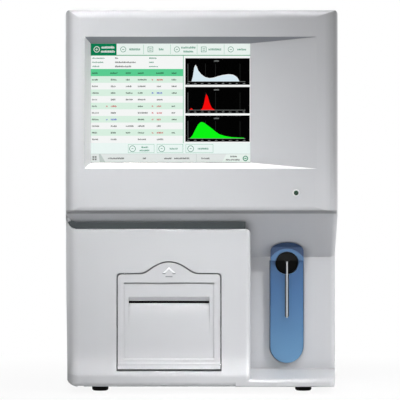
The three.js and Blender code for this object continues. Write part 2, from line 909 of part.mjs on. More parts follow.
// Display
function displayPieces() {
  const xs = [screenLeft - glassMargin, screenRight + glassMargin];
  const zs = [screenBottom - glassMargin, screenTop + glassMargin];
  const glass = box(xs, [glassFront, glassFront + glassThickness], zs);
  const module = box(xs, [moduleFront, moduleFront + moduleThickness], zs);
  let bracket = box(
    [xs[0] - 2 * bracketFlange, xs[1] + 2 * bracketFlange],
    [bracketFront, bracketFront + sheet],
    [zs[0], zs[1]],
  );
  const window = box(
    [xs[0] + 3 * bracketFlange, xs[1] - 3 * bracketFlange],
    [bracketFront - overrun, bracketFront + sheet + overrun],
    [zs[0] + 3 * bracketFlange, zs[1] - 3 * bracketFlange],
  );
  bracket = bracket.subtract(window);
  for (const place of displayBosses()) {
    const depths = [bracketFront - overrun, bracketFront + sheet + overrun];
    bracket = bracket.subtract(barY(bossRadius / 2, depths, place));
  }
  addPiece(front, "touch_glass", glass, screenGlass);
  addPiece(front, "display_module", module, greyPlastic);
  addPiece(front, "display_bracket", bracket, zincSteel);
}
displayPieces();

function indicatorLamp() {
  const seat = -coverWall - gap;
  const [sideShare, dropShare] = domeShares;
  const dome = [
    [0, -lampDepth], [lampRadius, -lampDepth],
    [lampRadius, seat - lampDome], [lampFlange, seat - lampDome],
    [lampFlange, seat], [lampRadius, seat],
    [lampRadius, -lampDome], [sideShare * lampRadius, -dropShare * lampDome], [0, 0],
  ];
  const form = turned(dome, smallSides);
  const lamp = addPiece(front, "indicator_lamp", form, greenLens);
  lamp.rotation.x = Math.PI / 2;
  lamp.position.set(lampX, 0, lampZ);
}
indicatorLamp();

// Printer door: a plate that follows the panel, its paper scoop, hinge barrel and platen cheeks
function doorPlate(wall) {
  const lean = Math.asin((flareStart - hingeZ) / flareRadius);
  const shape = new THREE.Shape();
  const centre = panelSetback - flareRadius;
  shape.absarc(centre, flareStart, flareRadius, -lean, 0);
  shape.lineTo(doorFace, doorCrown + overrun);
  shape.lineTo(doorFace + wall, doorCrown + overrun);
  shape.absarc(centre, flareStart, flareRadius + wall, 0, -lean, true);
  return prismX(shape, [-doorWidth / 2, doorWidth / 2]);
}

function doorInset() {
  const lean = Math.asin((flareStart - insetBottom) / flareRadius);
  const shape = new THREE.Shape();
  const centre = panelSetback - flareRadius;
  shape.absarc(centre, flareStart, flareRadius + insetDepth, -lean, 0);
  shape.lineTo(doorFace + insetDepth, insetTop);
  shape.lineTo(-overrun, insetTop);
  shape.lineTo(-overrun, insetBottom);
  const groove = box(
    [-insetHalf, insetHalf],
    [-overrun, doorFace + grooveDepth],
    [insetTop - gap, insetTop + grooveHeight - gap],
  );
  return prismX(shape, [-insetHalf, insetHalf]).add(groove);
}

function doorScoop() {
  const back = doorFace + scoopDepth;
  const shape = new THREE.Shape();
  shape.moveTo(doorFace - overrun, scoopTop + overrun);
  shape.lineTo(doorFace, scoopTop);
  shape.lineTo(back, slotTop);
  shape.lineTo(back, slotTop - slotHeight);
  shape.quadraticCurveTo(doorFace + insetDepth, slotTop - 3 * slotHeight, doorFace + insetDepth, scoopFoot);
  shape.lineTo(doorFace - overrun, scoopFoot);
  return prismX(shape, [-scoopHalf, scoopHalf]);
}

function printerDoor() {
  const bar = barX(barrelRadius, [-doorWidth / 2, doorWidth / 2], [hingeDepth, hingeZ], roundSides);
  const back = doorFace + scoopDepth + doorWall;
  const block = box(
    [-scoopHalf - slotBlockMargin, scoopHalf + slotBlockMargin],
    [doorFace + insetDepth + gap, back],
    [scoopFoot + 2 * slotBlockMargin, scoopTop + slotBlockMargin],
  );
  let form = join(doorPlate(doorWall), bar).intersect(
    prismY(doorOutline(0, hingeZ - barrelRadius), [-overrun, frameDepth], 2 * arcSteps),
  );
  form = join(form, block);
  for (const side of [-1, 1]) {
    const x = side * (cheekStart + cheekThickness / 2);
    form = form.add(box(
      [x - cheekThickness / 2, x + cheekThickness / 2],
      [doorFace + doorWall - gap, platenDepth + platenRadius],
      [platenZ - cheekHalfHeight, platenZ + cheekHalfHeight],
    ));
  }
  form = form.subtract(doorInset()).subtract(doorScoop());
  const slotHeights = [slotTop - slotHeight, slotTop];
  form = form.subtract(box([-scoopHalf, scoopHalf], [doorFace, back + overrun], slotHeights));
  form = form.subtract(barX(hingePinRadius + gap, [-doorWidth, doorWidth], [hingeDepth, hingeZ]));
  return form.subtract(barX(platenShaftRadius + gap, [-doorWidth, doorWidth], [platenDepth, platenZ]));
}
addPiece(printer, "printer_door", printerDoor(), silverPlastic);

function platenPieces() {
  const half = paperWidth / 2 + gap;
  const gearFrom = -bucketHalf - slack - gearWidth;
  const centre = [platenDepth, platenZ];
  const shaftReach = [gearFrom - slack, cheekStart + cheekThickness + slack];
  const shaft = barX(platenShaftRadius, shaftReach, centre);
  const roller = barX(platenRadius, [-half, half], centre, roundSides).add(shaft);
  const outline = gearOutline(platenTeeth, gearModule, 0);
  const gear = prismX(outline, [gearFrom, gearFrom + gearWidth])
    .translate([0, platenDepth, platenZ])
    .subtract(barX(platenShaftRadius + gap, [-doorWidth, doorWidth], centre));
  addPiece(printer, "platen_roller", roller, rubber);
  addPiece(printer, "platen_gear", gear, greyPlastic);
}
platenPieces();

function hingePin() {
  const reach = doorWidth / 2 + flangeMargin - gap;
  return barX(hingePinRadius, [-reach, reach], [hingeDepth, hingeZ]);
}
addPiece(printer, "door_hinge_pin", hingePin(), polishedSteel);

// Paper bucket: cradle for the roll, front flange with the hinge ears, head wall, motor posts
function bucketProfile(radius, frontDepth, top) {
  const shape = new THREE.Shape();
  shape.moveTo(frontDepth, top);
  shape.lineTo(frontDepth, rollAxisZ);
  shape.lineTo(rollDepth - radius, rollAxisZ);
  shape.absarc(rollDepth, rollAxisZ, radius, Math.PI, 2 * Math.PI);
  shape.lineTo(rollDepth + radius, top);
  return shape;
}

function bucketFlange() {
  const half = doorWidth / 2 + flangeMargin;
  const depths = [bucketFront - sheet, bucketFront];
  const opening = doorWidth / 2 + doorGap;
  const plate = box([-half, half], depths, [hingeZ, bucketTop + 2 * flangeMargin]);
  const window = box(
    [-opening, opening], [bucketFront - sheet - overrun, bucketFront + overrun], [0, doorCrown + doorGap],
  );
  let form = plate.subtract(window);
  for (const side of [-1, 1]) {
    const xs = side < 0 ? [-half, -opening] : [opening, half];
    const ear = join(
      barX(hingePinRadius + sheet, xs, [hingeDepth, hingeZ]),
      box(xs, [hingeDepth, bucketFront], [hingeZ - hingePinRadius - sheet, hingeZ + 2 * flangeMargin]),
    );
    form = form.add(ear);
    const webXs = side < 0 ? [-half, -bucketHalf + sheet] : [bucketHalf - sheet, half];
    for (const zs of [
      [rollAxisZ, platenZ - gearModule * platenTeeth],
      [platenZ + gearModule * platenTeeth - sheet, bucketTop],
    ]) {
      form = form.add(box(webXs, [bucketFront - gap, bucketFront + sheet], zs));
    }
  }
  return form;
}

function printerBucket() {
  const outline = bucketProfile(cradleRadius + sheet, bucketFront, bucketTop);
  const outer = prismX(outline, [-bucketHalf, bucketHalf], 2 * arcSteps);
  const inner = prismX(
    bucketProfile(cradleRadius, bucketFront - overrun, bucketTop - sheet),
    [-bucketHalf + sheet, bucketHalf - sheet],
    2 * arcSteps,
  );
  const wallDepth = platenDepth + platenRadius + gap + headThickness + gap;
  let form = outer.subtract(inner).add(bucketFlange());
  form = form.add(box(
    [-bucketHalf + sheet / 2, bucketHalf - sheet / 2],
    [wallDepth, wallDepth + sheet],
    [headBottom, headTop],
  ));
  for (const side of [-1, 1]) {
    const z = platenZ + side * 3 * postSize;
    form = form.add(box(
      [-bucketHalf - postReach, -bucketHalf + sheet / 2],
      [driveDepth - postSize / 2, driveDepth + postSize / 2],
      [z - postSize / 2, z + postSize / 2],
    ));
  }
  const shaftSlot = box(
    [-bucketHalf - overrun, -bucketHalf + sheet + overrun],
    [bucketFront - sheet - overrun, platenDepth + platenShaftRadius + slack],
    [platenZ - platenShaftRadius - slack, platenZ + platenShaftRadius + 3 * slack],
  );
  form = form.subtract(shaftSlot);
  return form.subtract(barX(hingePinRadius + gap, [-doorWidth, doorWidth], [hingeDepth, hingeZ]));
}
addPiece(printer, "printer_bucket", printerBucket(), greyPlastic);

function paperRoll() {
  const half = paperWidth / 2;
  const outer = barX(rollRadius, [-half, half], [rollDepth, rollZ], roundSides);
  return outer.subtract(barX(rollBore, [-paperWidth, paperWidth], [rollDepth, rollZ]));
}
addPiece(printer, "paper_roll", paperRoll(), paper);

function thermalHead() {
  const face = platenDepth + platenRadius + gap;
  const half = paperWidth / 2;
  return box([-half, half], [face, face + headThickness], [headBottom, headTop]);
}
addPiece(printer, "thermal_head", thermalHead(), zincSteel);

function printerDrive() {
  const gearFrom = -bucketHalf - slack - gearWidth;
  const centre = [driveDepth, platenZ];
  const turn = Math.PI + Math.PI / driveTeeth;
  const gear = prismX(gearOutline(driveTeeth, gearModule, turn), [gearFrom, gearFrom + gearWidth])
    .translate([0, driveDepth, platenZ])
    .subtract(barX(printerShaftRadius + gap, [-doorWidth, doorWidth], centre));
  const plateFrom = -bucketHalf - postReach - gap - sheet;
  const motor = join(
    box(
      [plateFrom, plateFrom + sheet],
      [driveDepth - printerMotorRadius, driveDepth + printerMotorRadius],
      [platenZ - motorFlangeHalf, platenZ + motorFlangeHalf],
    ),
    barX(printerMotorRadius, [plateFrom - printerMotorLength, plateFrom], centre, roundSides),
    barX(printerShaftRadius, [plateFrom, gearFrom + gearWidth], centre),
  );
  addPiece(printer, "printer_drive_gear", gear, brass);
  addPiece(printer, "printer_motor", motor, zincSteel);
}
printerDrive();

// Hood over the probe: it follows the sloped ceiling and stands proud of the key
function probeHood() {
  const slope = (d, out) => slopeHeight(d, 0) - out * slopeStretch;
  const crownDepth = lipRadius + (lipBottom - hoodPad * slopeStretch - hoodCrown) / slopeRise;
  const shape = polygon([
    [hoodFace, hoodBottom],
    [hoodFace, slope(hoodFace, hoodPad)],
    [crownDepth, hoodCrown],
    [crownDepth + hoodPad - gap, slope(crownDepth + hoodPad - gap, gap)],
    [nicheDepth - gap, slope(nicheDepth - gap, gap)],
    [nicheDepth - gap, hoodBottom],
  ]);
  const crown = new THREE.Shape();
  crown.moveTo(-keyHalfWidth, hoodBottom);
  crown.lineTo(keyHalfWidth, hoodBottom);
  crown.absellipse(0, hoodCrown - hoodCrownHeight, keyHalfWidth, hoodCrownHeight, 0, Math.PI);
  const form = prismX(shape, [-keyHalfWidth, keyHalfWidth])
    .intersect(prismY(crown, [0, nicheDepth], 2 * arcSteps))
    .subtract(barY(mouthRadius, [0, frameDepth], [0, mouthZ], roundSides));
  return form.subtract(barZ(2 * probeBore, [hoodBottom, height], [0, probeDepth]));
}
addPiece(sampler, "probe_hood", probeHood(), bluePlastic);

// Start key: a hollow bar with a retaining flange and a spring boss behind it
function startKey() {
  const frontPart = prismY(keyOutline(0), [keyFace, keyFlangeFront + gap], 2 * arcSteps);
  const flange = prismY(keyOutline(keyFlange), [keyFlangeFront, keyBack], 2 * arcSteps).subtract(
    box([-guideHalf, guideHalf], [keyFlangeFront - gap, keyBack + overrun], [hoodBottom - gap, height]),
  );
  const hollow = prismY(keyOutline(-keyWall), [keyFace + keyWall, keyBack + overrun], 2 * arcSteps);
  const mouthWall = barY(mouthRadius + keyWall, [keyFace, keyBack], [0, mouthZ], roundSides)
    .intersect(prismY(keyOutline(0), [keyFace, keyBack], 2 * arcSteps));
  const boss = barY(keySpringRadius - keySpringWire - slack, [keyFace, keyBack], [0, keySpringZ()]);
  return join(join(frontPart, flange).subtract(hollow), mouthWall, boss, springSeat())
    .subtract(barY(mouthRadius, [0, frameDepth], [0, mouthZ], roundSides));
}

function keySpringZ() {
  return (keyBottom + hoodBottom) / 2;
}

function springSeat() {
  return barY(keySpringRadius + keyWall, [keyFace, keyBack - keyWall], [0, keySpringZ()], roundSides);
}
addPiece(sampler, "start_key", startKey(), bluePlastic);

// Key spring: an open coil between the key and the guide plate
function keySpring() {
  const length = guideDepth - gap - (keyBack - keyWall + gap);
  const middle = keySpringRadius;
  class Helix extends THREE.Curve {
    getPoint(t, target = new THREE.Vector3()) {
      const angle = 2 * Math.PI * keySpringTurns * t;
      const rise = keySpringWire + (length - 2 * keySpringWire) * t;
      return target.set(middle * Math.cos(angle), rise, middle * Math.sin(angle));
    }
  }
  const section = new THREE.Shape().absarc(0, 0, keySpringWire, 0, 2 * Math.PI);
  const geometry = new THREE.ExtrudeGeometry(section, {
    steps: curlSteps * keySpringTurns,
    curveSegments: wireSteps,
    bevelEnabled: false,
    extrudePath: new Helix(),
  });
  return solid(geometry.translate(0, keyBack - keyWall + gap, keySpringZ()));
}
addPiece(sampler, "start_key_spring", keySpring(), polishedSteel);

// Board on the cover's four posts: it backs the spring and carries the start switch
function switchBoard() {
  const plate = box([-guideHalf, guideHalf], [guideDepth, guideDepth + sheet], [guideBottom, guideTop]);
  const holes = guidePosts(0).map((place) =>
    barY(guidePostRadius / 2, [guideDepth - overrun, guideDepth + sheet + overrun], place));
  const pressed = keyBack + keyTravel + gap;
  const housing = box(
    [-switchWidth / 2, switchWidth / 2],
    [guideDepth - switchHeight / 3, guideDepth + sheet / 2],
    [switchZ - switchHeight / 2, switchZ + switchHeight / 2],
  );
  const plunger = barY(switchHeight / 5, [pressed, guideDepth], [0, switchZ]);
  return join(plate.subtract(join(...holes)), housing, plunger);
}
addPiece(sampler, "start_switch_board", switchBoard(), boardGreen);

// Wiper: the half-round block that the probe slides through, on a disc that closes the mouth
function wiperBlock() {
  const discBack = liftPlateDepth - gap;
  const block = barY(wiperRadius, [hoodFace + wiperSetback, discBack], [0, mouthZ], roundSides)
    .subtract(box([-guideHalf, guideHalf], [0, discBack - wiperDisc], [0, hoodBottom]));
  const disc = barY(wiperDiscRadius, [discBack - wiperDisc, discBack], [0, mouthZ], roundSides);
  return join(block, disc).subtract(barZ(probeBore, [0, height], [0, probeDepth]));
}
addPiece(sampler, "wiper_block", wiperBlock(), blackPlastic);

function sampleProbe() {
  const top = carriageBottom + carriageHeight + lugThickness;
  const profile = [
    [0, probeTip], [probeRadius / 2, probeTip], [probeRadius, probeTip + probeTipLength],
    [probeRadius, top], [0, top],
  ];
  return turned(profile, smallSides).translate([0, probeDepth, 0]);
}
addPiece(sampler, "sample_probe", sampleProbe(), polishedSteel);

function probeCarriage() {
  const zs = [carriageBottom, carriageBottom + carriageHeight];
  const earX = beltX - beltPitchRadius - beltThickness - gap;
  const ear = box([0, earX], [beltDepth, beltDepth + beltWidth], [zs[0] + beltWidth, zs[1] - beltWidth]);
  let form = box([-carriageHalf, carriageHalf], [carriageFront, carriageBack], zs).add(ear);
  for (const x of [-rodX, rodX]) {
    form = form.subtract(barZ(rodRadius + gap, [0, height], [x, rodDepth]));
  }
  return form.subtract(barZ(probeRadius + gap, [0, height], [0, probeDepth]));
}
addPiece(sampler, "probe_carriage", probeCarriage(), greyPlastic);

function liftRods() {
  for (const [name, x] of [["left_guide_rod", -rodX], ["right_guide_rod", rodX]]) {
    const rod = barZ(rodRadius, [lugBottom + lugThickness + gap, rodTop], [x, rodDepth]);
    addPiece(sampler, name, rod, polishedSteel);
  }
}
liftRods();

// Lift frame: a channel with two lugs for the rods and a pin for the idler
function liftFrame() {
  const plateBack = liftPlateDepth + sheet;
  const zs = [carriageBottom - liftPlateDrop, rodTop + liftPlateRise];
  let form = box([-liftPlateLeft, liftPlateRight], [liftPlateDepth, plateBack], zs);
  for (const x of [-liftPlateLeft, liftPlateRight - sheet]) {
    form = form.add(box([x, x + sheet], [liftPlateDepth, frameDepth - gap], zs));
  }
  const lowLug = box([-lugHalf, lugHalf], [lugFront, plateBack], [lugBottom, lugBottom + lugThickness]);
  const highLug = box(
    [-lugHalf, lugHalf], [lugFront, plateBack], [rodTop + gap, rodTop + gap + lugThickness],
  );
  const pin = barY(pulleyShaftRadius, [beltDepth - pulleyFlange, plateBack], [beltX, beltLow]);
  const hole = barY(pulleyShaftRadius + slack, [0, height], [beltX, beltHigh]);
  return join(form, lowLug, highLug, pin).subtract(hole);
}
addPiece(sampler, "lift_frame", liftFrame(), zincSteel);

function liftDrive() {
  const reach = [beltDepth - pulleyFlange, beltDepth + beltWidth + pulleyFlange];
  for (const [name, z] of [["drive_pulley", beltHigh], ["idler_pulley", beltLow]]) {
    const pulley = barY(beltPitchRadius - beltThickness - gap, reach, [beltX, z], roundSides)
      .subtract(barY(pulleyShaftRadius + gap, [0, height], [beltX, z]));
    addPiece(sampler, name, pulley, zincSteel);
  }
  const spans = [beltDepth, beltDepth + beltWidth];
  const outer = stadium(beltPitchRadius + beltThickness, [beltLow, beltHigh], beltX);
  const inner = stadium(beltPitchRadius - beltThickness, [beltLow, beltHigh], beltX);
  outer.holes.push(inner);
  addPiece(sampler, "lift_belt", prismY(outer, spans, 2 * arcSteps), rubber);
  const back = liftPlateDepth + sheet + gap;
  const motor = box(
    [beltX - liftMotorHalf, beltX + liftMotorHalf],
    [back, back + liftMotorDepth],
    [beltHigh - liftMotorHalf, beltHigh + liftMotorHalf],
  ).add(barY(pulleyShaftRadius, [beltDepth - pulleyFlange, back + bite], [beltX, beltHigh]));
  addPiece(sampler, "lift_motor", motor, blackPlastic);
}
liftDrive();

// Covers: two side plates with a rear return, a lid, and the rear panel
function sideCover(side) {
  const top = height - topCoverHeight - gap;
  const outer = halfWidth * side;
  const inner = (halfWidth - plateThickness) * side;
  const flange = (halfWidth - rearFlange) * side;
  const start = frontY + coverDepth + gap;
  const end = rearY - rearSheet - gap;
  const corner = coverCornerRadius;
  const outline = new THREE.Shape();
  outline.moveTo(outer, start);
  outline.lineTo(inner, start);
  outline.lineTo(inner, end - plateThickness);
  outline.lineTo(flange, end - plateThickness);
  outline.lineTo(flange, end);
  outline.lineTo(outer - corner * side, end);
  outline.lineTo(outer - (corner * side) / 3, end - corner / 3);
  outline.lineTo(outer, end - corner);
  return prismZ(outline, [groundGap, top]);
}
addPiece(body, "left_side_cover", sideCover(-1), paintedSteel);
addPiece(body, "right_side_cover", sideCover(1), paintedSteel);

function topCover() {
  const lowZ = height - topCoverHeight;
  const ys = [frontY + coverDepth + gap, rearY];
  const outer = softRectangle(
    [-halfWidth, halfWidth], [lowZ, height], [0, 0, coverCornerRadius, coverCornerRadius],
  );
  const radius = coverCornerRadius - plateThickness;
  const inner = softRectangle(
    [-halfWidth + plateThickness, halfWidth - plateThickness],
    [lowZ - overrun, height - plateThickness],
    [0, 0, radius, radius],
  );
  return prismY(outer, ys).subtract(prismY(inner, [ys[0] - overrun, ys[1] - rearSheet]));
}
addPiece(body, "top_cover", topCover(), paintedSteel);

// Ring slots of the fan grille, broken by struts
function grilleSlots() {
  const depths = [-rearSheet - overrun, overrun];
  let slots = null;
  for (let ring = 1; ring <= grilleRings; ring++) {
    const outer = fanHubRadius / 2 + ring * 2 * grilleBar;
    const disc = barY(outer, depths, [fanX, fanZ], grilleSides)
      .subtract(barY(outer - grilleBar, [-frameDepth, frameDepth], [fanX, fanZ], grilleSides));
    slots = slots ? slots.add(disc) : disc;
  }
  const reach = fanSize / 2;
  const past = [-frameDepth, frameDepth];
  const struts = join(
    box([fanX - grilleBar / 2, fanX + grilleBar / 2], past, [fanZ - reach, fanZ + reach]),
    box([fanX - reach, fanX + reach], past, [fanZ - grilleBar / 2, fanZ + grilleBar / 2]),
  );
  return slots.subtract(struts);
}

function rearPanel() {
  const top = height - topCoverHeight - overrun;
  const depths = [-rearSheet - overrun, overrun];
  let form = box(
    [-halfWidth + rearMargin, halfWidth - rearMargin], [-rearSheet, 0], [groundGap + overrun, top],
  );
  const cut = (x, z, w, h) => {
    form = form.subtract(box([x - w / 2, x + w / 2], depths, [z - h / 2, z + h / 2]));
  };
  cut(inletX, inletZ, inletWidth + 2 * gap, inletHeight + 2 * gap);
  cut(switchX, inletZ, rockerWidth + 2 * gap, rockerHeight + 2 * gap);
  cut((portsLeft + portsRight) / 2, portsZ, portsWidth - portWidth / 2, portHeight + 2 * gap);
  return form.subtract(grilleSlots());
}
addPiece(rear, "rear_panel", rearPanel(), paintedSteel);

function footPlaces() {
  const places = [];
  for (const y of [frontY + footFrontDepth, rearY - footRearInset]) {
    for (const x of [footInset - halfWidth, halfWidth - footInset]) places.push([x, y]);
  }
  return places;
}

// Base plate: a tray whose front tongue reaches under the front cover
function basePlate() {
  const half = halfWidth - plateThickness - gap;
  const back = rearY - rearSheet - plateThickness - 2 * gap;
  const tongueFront = frontY + baseInset;
  const wide = frontY + coverDepth + gap;
  const rim = groundGap + baseFlange;
  const channel = polygon([
    [-half, groundGap], [half, groundGap], [half, rim], [half - sheet, rim],
    [half - sheet, floorZ], [sheet - half, floorZ], [sheet - half, rim], [-half, rim],
  ]);
  const tongueHalf = halfWidth - baseTongueInset;
  const tongue = box([-tongueHalf, tongueHalf], [tongueFront, wide + sheet], [groundGap, floorZ]);
  let form = prismY(channel, [wide, back]).add(tongue);
  for (const place of footPlaces()) {
    form = form.subtract(barZ(footStemRadius + gap, [0, height], place));
  }
  return form;
}
addPiece(body, "base_plate", basePlate(), zincSteel);

function feet() {
  const top = groundGap - gap;
  const profile = [
    [0, 0], [footSoleRadius, 0],
    ...footShares.map(([side, rise]) => [side * footRadius, rise * top]),
    [footRadius, top], [footStemRadius, top],
    [footStemRadius, top + footStemRise], [0, top + footStemRise],
  ];
  const names = ["foot_front_left", "foot_front_right", "foot_rear_left", "foot_rear_right"];
  footPlaces().forEach(([x, y], index) => {
    const foot = addPiece(body, names[index], turned(profile), rubber);
    foot.position.set(x, y, 0);
  });
}
feet();

// Inner frame: an upright sheet behind the front mechanisms, and the electronics shelf
function innerFrame() {
  const low = floorZ + gap;
  const upright = box([-frameHalf, frameHalf], [frameY, frameY + sheet], [low, frameTop]);
  const flange = box([-frameHalf, frameHalf], [frameY, frameY + frameFlange], [low, low + sheet]);
  const windowLeft = frameWindowInset - frameHalf;
  const window = box(
    [windowLeft, windowLeft + frameWindowWidth],
    [frameY - overrun, frameY + sheet + overrun],
    [shelfZ + frameWindowRise, frameTop - frameWindowDrop],
  );
  return join(upright, flange).subtract(window);
}
addPiece(body, "inner_frame", innerFrame(), zincSteel);

function electronicsShelf() {
  const ys = [frameY + sheet + gap, rearY - shelfRearInset];
  const plate = box([-frameHalf, frameHalf], ys, [shelfZ, shelfZ + sheet]);
  const lip = box([-frameHalf, frameHalf], [ys[0], ys[0] + sheet], [shelfZ - shelfLip, shelfZ + sheet]);
  let form = plate.add(lip);
  for (const side of [-1, 1]) {
    const outer = side * (halfWidth - plateThickness - gap);
    const xs = side < 0 ? [outer, outer + rearFlange] : [outer - rearFlange, outer];
    form = form.add(box(xs, [ys[0] + shelfLip, ys[1]], [shelfZ, shelfZ + sheet]));
    const edge = side < 0 ? [outer, outer + sheet] : [outer - sheet, outer];
    form = form.add(box(edge, [ys[0] + shelfLip, ys[1]], [shelfZ, shelfZ + shelfLip]));
  }
  return form;
}
addPiece(body, "electronics_shelf", electronicsShelf(), zincSteel);

// Counting baths on their stand, behind the sampler
function bathPieces() {
  const x = samplerX;
  const low = floorZ + gap;
  const profile = [
    [0, bathBottom], [bathDrainRadius, bathBottom], [bathDrainRadius, bathBottom + bathDrain],
    [bathRadius, bathBottom + bathDrain + bathCone], [bathRadius, bathTop],
    [bathRadius - bathWall, bathTop], [bathRadius - bathWall, bathBottom + bathDrain + bathCone + bathWall],
    [bathDrainRadius / 2, bathBottom + bathDrain + bathWall], [0, bathBottom + bathDrain + bathWall],
  ];
  ["wbc_bath", "rbc_bath"].forEach((name, index) => {
    const bath = addPiece(body, name, turned(profile, roundSides), clearAcrylic);
    bath.position.set(x, bathFrontY + index * bathSpacing, 0);
  });
  const ys = [bathFrontY - bathStandHalf, bathFrontY + bathSpacing + bathStandHalf];
  const wallX = x + bathStandBackX - 2 * sheet;
  const shelfXs = [x - bathStandHalf, wallX + sheet];
  let stand = join(
    box(shelfXs, ys, [bathShelfZ, bathShelfZ + sheet]),
    box([wallX, wallX + sheet], ys, [low, bathShelfZ + sheet]),
    box([x - bathStandHalf, wallX + sheet], ys, [low, low + sheet]),
  );
  for (let index = 0; index < 2; index++) {
    const place = [x, bathFrontY + index * bathSpacing];
    const heights = [bathShelfZ - overrun, bathShelfZ + 2 * overrun];
    stand = stand.subtract(barZ(bathRadius + gap, heights, place, roundSides));
  }
  addPiece(body, "bath_stand", stand, zincSteel);
}
bathPieces();

// Syringe unit: two glass barrels, one driven bridge with both plungers, screw and motor
const syringes = groupAt(analyzer, samplerX - syringeSpacing, frameY + syringeSetback, floorZ + gap);
const syringeMotorTop = sheet + gap + syringeMotorHeight;

function syringeFrame() {
  const plateY = blockDepth / 2 + syringeMotorHalf / 2;
  const xs = [-syringePlateHalf, syringePlateHalf];
  const ys = [-blockDepth / 2, plateY + sheet / 2];
  const lower = [lowerBlockZ, lowerBlockZ + blockHeight];
  let form = join(
    box(xs, [plateY, plateY + sheet], [0, syringeTop]),
    box(xs, [-blockDepth, plateY + sheet], [0, sheet]),
    box(xs, ys, lower),
    box(xs, ys, [barrelTop + gap, barrelTop + gap + blockHeight]),
  );
  for (const x of [-plungerX, plungerX]) {
    form = form.subtract(barZ(plungerRadius + slack, [lower[0] - overrun, lower[1] + overrun], [x, 0]));
    form = form.subtract(barZ(portRadius, [barrelTop, height], [x, 0]));
  }
  return form.subtract(barZ(screwRadius + gap, [lower[0] - overrun, screwTop + gap], [0, 0]));
}
addPiece(syringes, "syringe_frame", syringeFrame(), zincSteel);

function syringeMotor() {
  const ys = [-syringeMotorHalf - syringeMotorOffset, syringeMotorHalf - syringeMotorOffset];
  return box([-syringeMotorHalf, syringeMotorHalf], ys, [sheet + gap, syringeMotorTop]);
}
addPiece(syringes, "syringe_motor", syringeMotor(), blackPlastic);

function syringeScrew() {
  return barZ(screwRadius, [syringeMotorTop + gap, screwTop], [0, 0]);
}
addPiece(syringes, "syringe_screw", syringeScrew(), brass);

// One barrel with its bore open below and a port through its top
function syringeBarrel(x, radius) {
  const bore = [barrelBottom - overrun, barrelTop - barrelWall];
  return barZ(radius, [barrelBottom, barrelTop], [x, 0], roundSides)
    .subtract(barZ(radius - barrelWall, bore, [x, 0], roundSides))
    .subtract(barZ(portRadius, [barrelBottom, height], [x, 0]));
}
addPiece(syringes, "diluent_syringe_barrel", syringeBarrel(-plungerX, diluentBarrelRadius), clearAcrylic);
addPiece(syringes, "sample_syringe_barrel", syringeBarrel(plungerX, sampleBarrelRadius), clearAcrylic);

function plungerBridge() {
  const ys = [-bridgeDepth / 2, bridgeDepth / 2];
  const plate = box([-bridgeHalf, bridgeHalf], ys, [bridgeZ, bridgeZ + bridgeThickness]);
  let form = plate.subtract(barZ(screwRadius + gap, [0, height], [0, 0]));
  for (const [x, radius] of [[-plungerX, diluentBarrelRadius], [plungerX, sampleBarrelRadius]]) {
    const piston = radius - barrelWall - gap;
    form = form.add(barZ(plungerRadius, [bridgeZ + bridgeThickness / 2, plungerTop], [x, 0]));
    form = form.add(barZ(piston, [plungerTop - pistonLength, plungerTop], [x, 0]));
  }
  return form;
}
addPiece(syringes, "plunger_bridge", plungerBridge(), greyPlastic);

// Valve manifold: a drilled block with a row of solenoids
function valveManifold() {
  const xs = [manifoldX - manifoldWidth / 2, manifoldX + manifoldWidth / 2];
  const ys = [manifoldFrontY, manifoldFrontY + manifoldLength];
  let form = box(xs, ys, [0, manifoldHeight]);
  for (let index = 0; index < valveCount; index++) {
    const y = manifoldFrontY + (manifoldLength * (index + 0.5)) / valveCount;
    const heights = [manifoldHeight - bite, manifoldHeight + valveHeight];
    form = form.add(barZ(valveRadius, heights, [manifoldX, y]));
    form = form.subtract(barX(portRadius, [xs[0] - overrun, manifoldX], [y, manifoldHeight / 2]));
  }
  return form;
}
addPiece(floor, "valve_manifold", valveManifold(), clearAcrylic);

// Pump: a motor can with a square head, on a cradle foot
function pump() {
  const half = pumpLength / 2;
  const axisZ = pumpCradle + pumpRadius;
  const end = half + pumpHeadLength;
  const can = barX(pumpRadius, [-half, half], [0, axisZ], roundSides);
  const head = box([half - bite, end], [-pumpHeadHalf, pumpHeadHalf], [0, 2 * pumpHeadHalf]);
  const rib = box([-half / 2, half], [-pumpRadius / 2, pumpRadius / 2], [0, axisZ]);
  const [portOffset, portRise] = pumpPortShares.map((share) => share * pumpHeadHalf);
  const ports = [-portOffset, portOffset].map((y) =>
    barX(pumpPortRadius, [end - bite, end + pumpCradle], [y, portRise]));
  return join(can, head, rib, ...ports);
}
for (const [name, y] of [["vacuum_pump", vacuumPumpY], ["waste_pump", vacuumPumpY - pumpSpacing]]) {
  addPiece(floor, name, pump(), greyPlastic).position.set(pumpInset - halfWidth, y, 0);
}

// Main board on standoffs, with its larger chips and connectors
function mainBoard() {
  const xs = [boardInset - halfWidth, supplyLeft - boardSupplyGap];
  const ys = [frameY + boardSetback, rearY - boardRearInset];
  let form = box(xs, ys, [standoffHeight, standoffHeight + boardThickness]);
  for (const x of [xs[0] + standoffInset, xs[1] - standoffInset]) {
    for (const y of [ys[0] + standoffInset, ys[1] - standoffInset]) {
      form = form.add(barZ(standoffRadius, [0, standoffHeight + boardThickness / 2], [x, y]));
    }
  }
  const top = standoffHeight + boardThickness;
  const chipShares = [[0.3, 0.3, 1], [0.62, 0.35, 0.8], [0.4, 0.7, 0.6], [0.8, 0.75, 1.2]];
  for (const [u, v, scale] of chipShares) {
    const x = xs[0] + u * (xs[1] - xs[0]);
    const y = ys[0] + v * (ys[1] - ys[0]);
    const half = (chipSize * scale) / 2;
    const zs = [top - boardThickness / 2, top + chipHeight];
    form = form.add(box([x - half, x + half], [y - half, y + half], zs));
  }
  return form;
}
addPiece(shelfTop, "main_board", mainBoard(), boardGreen);

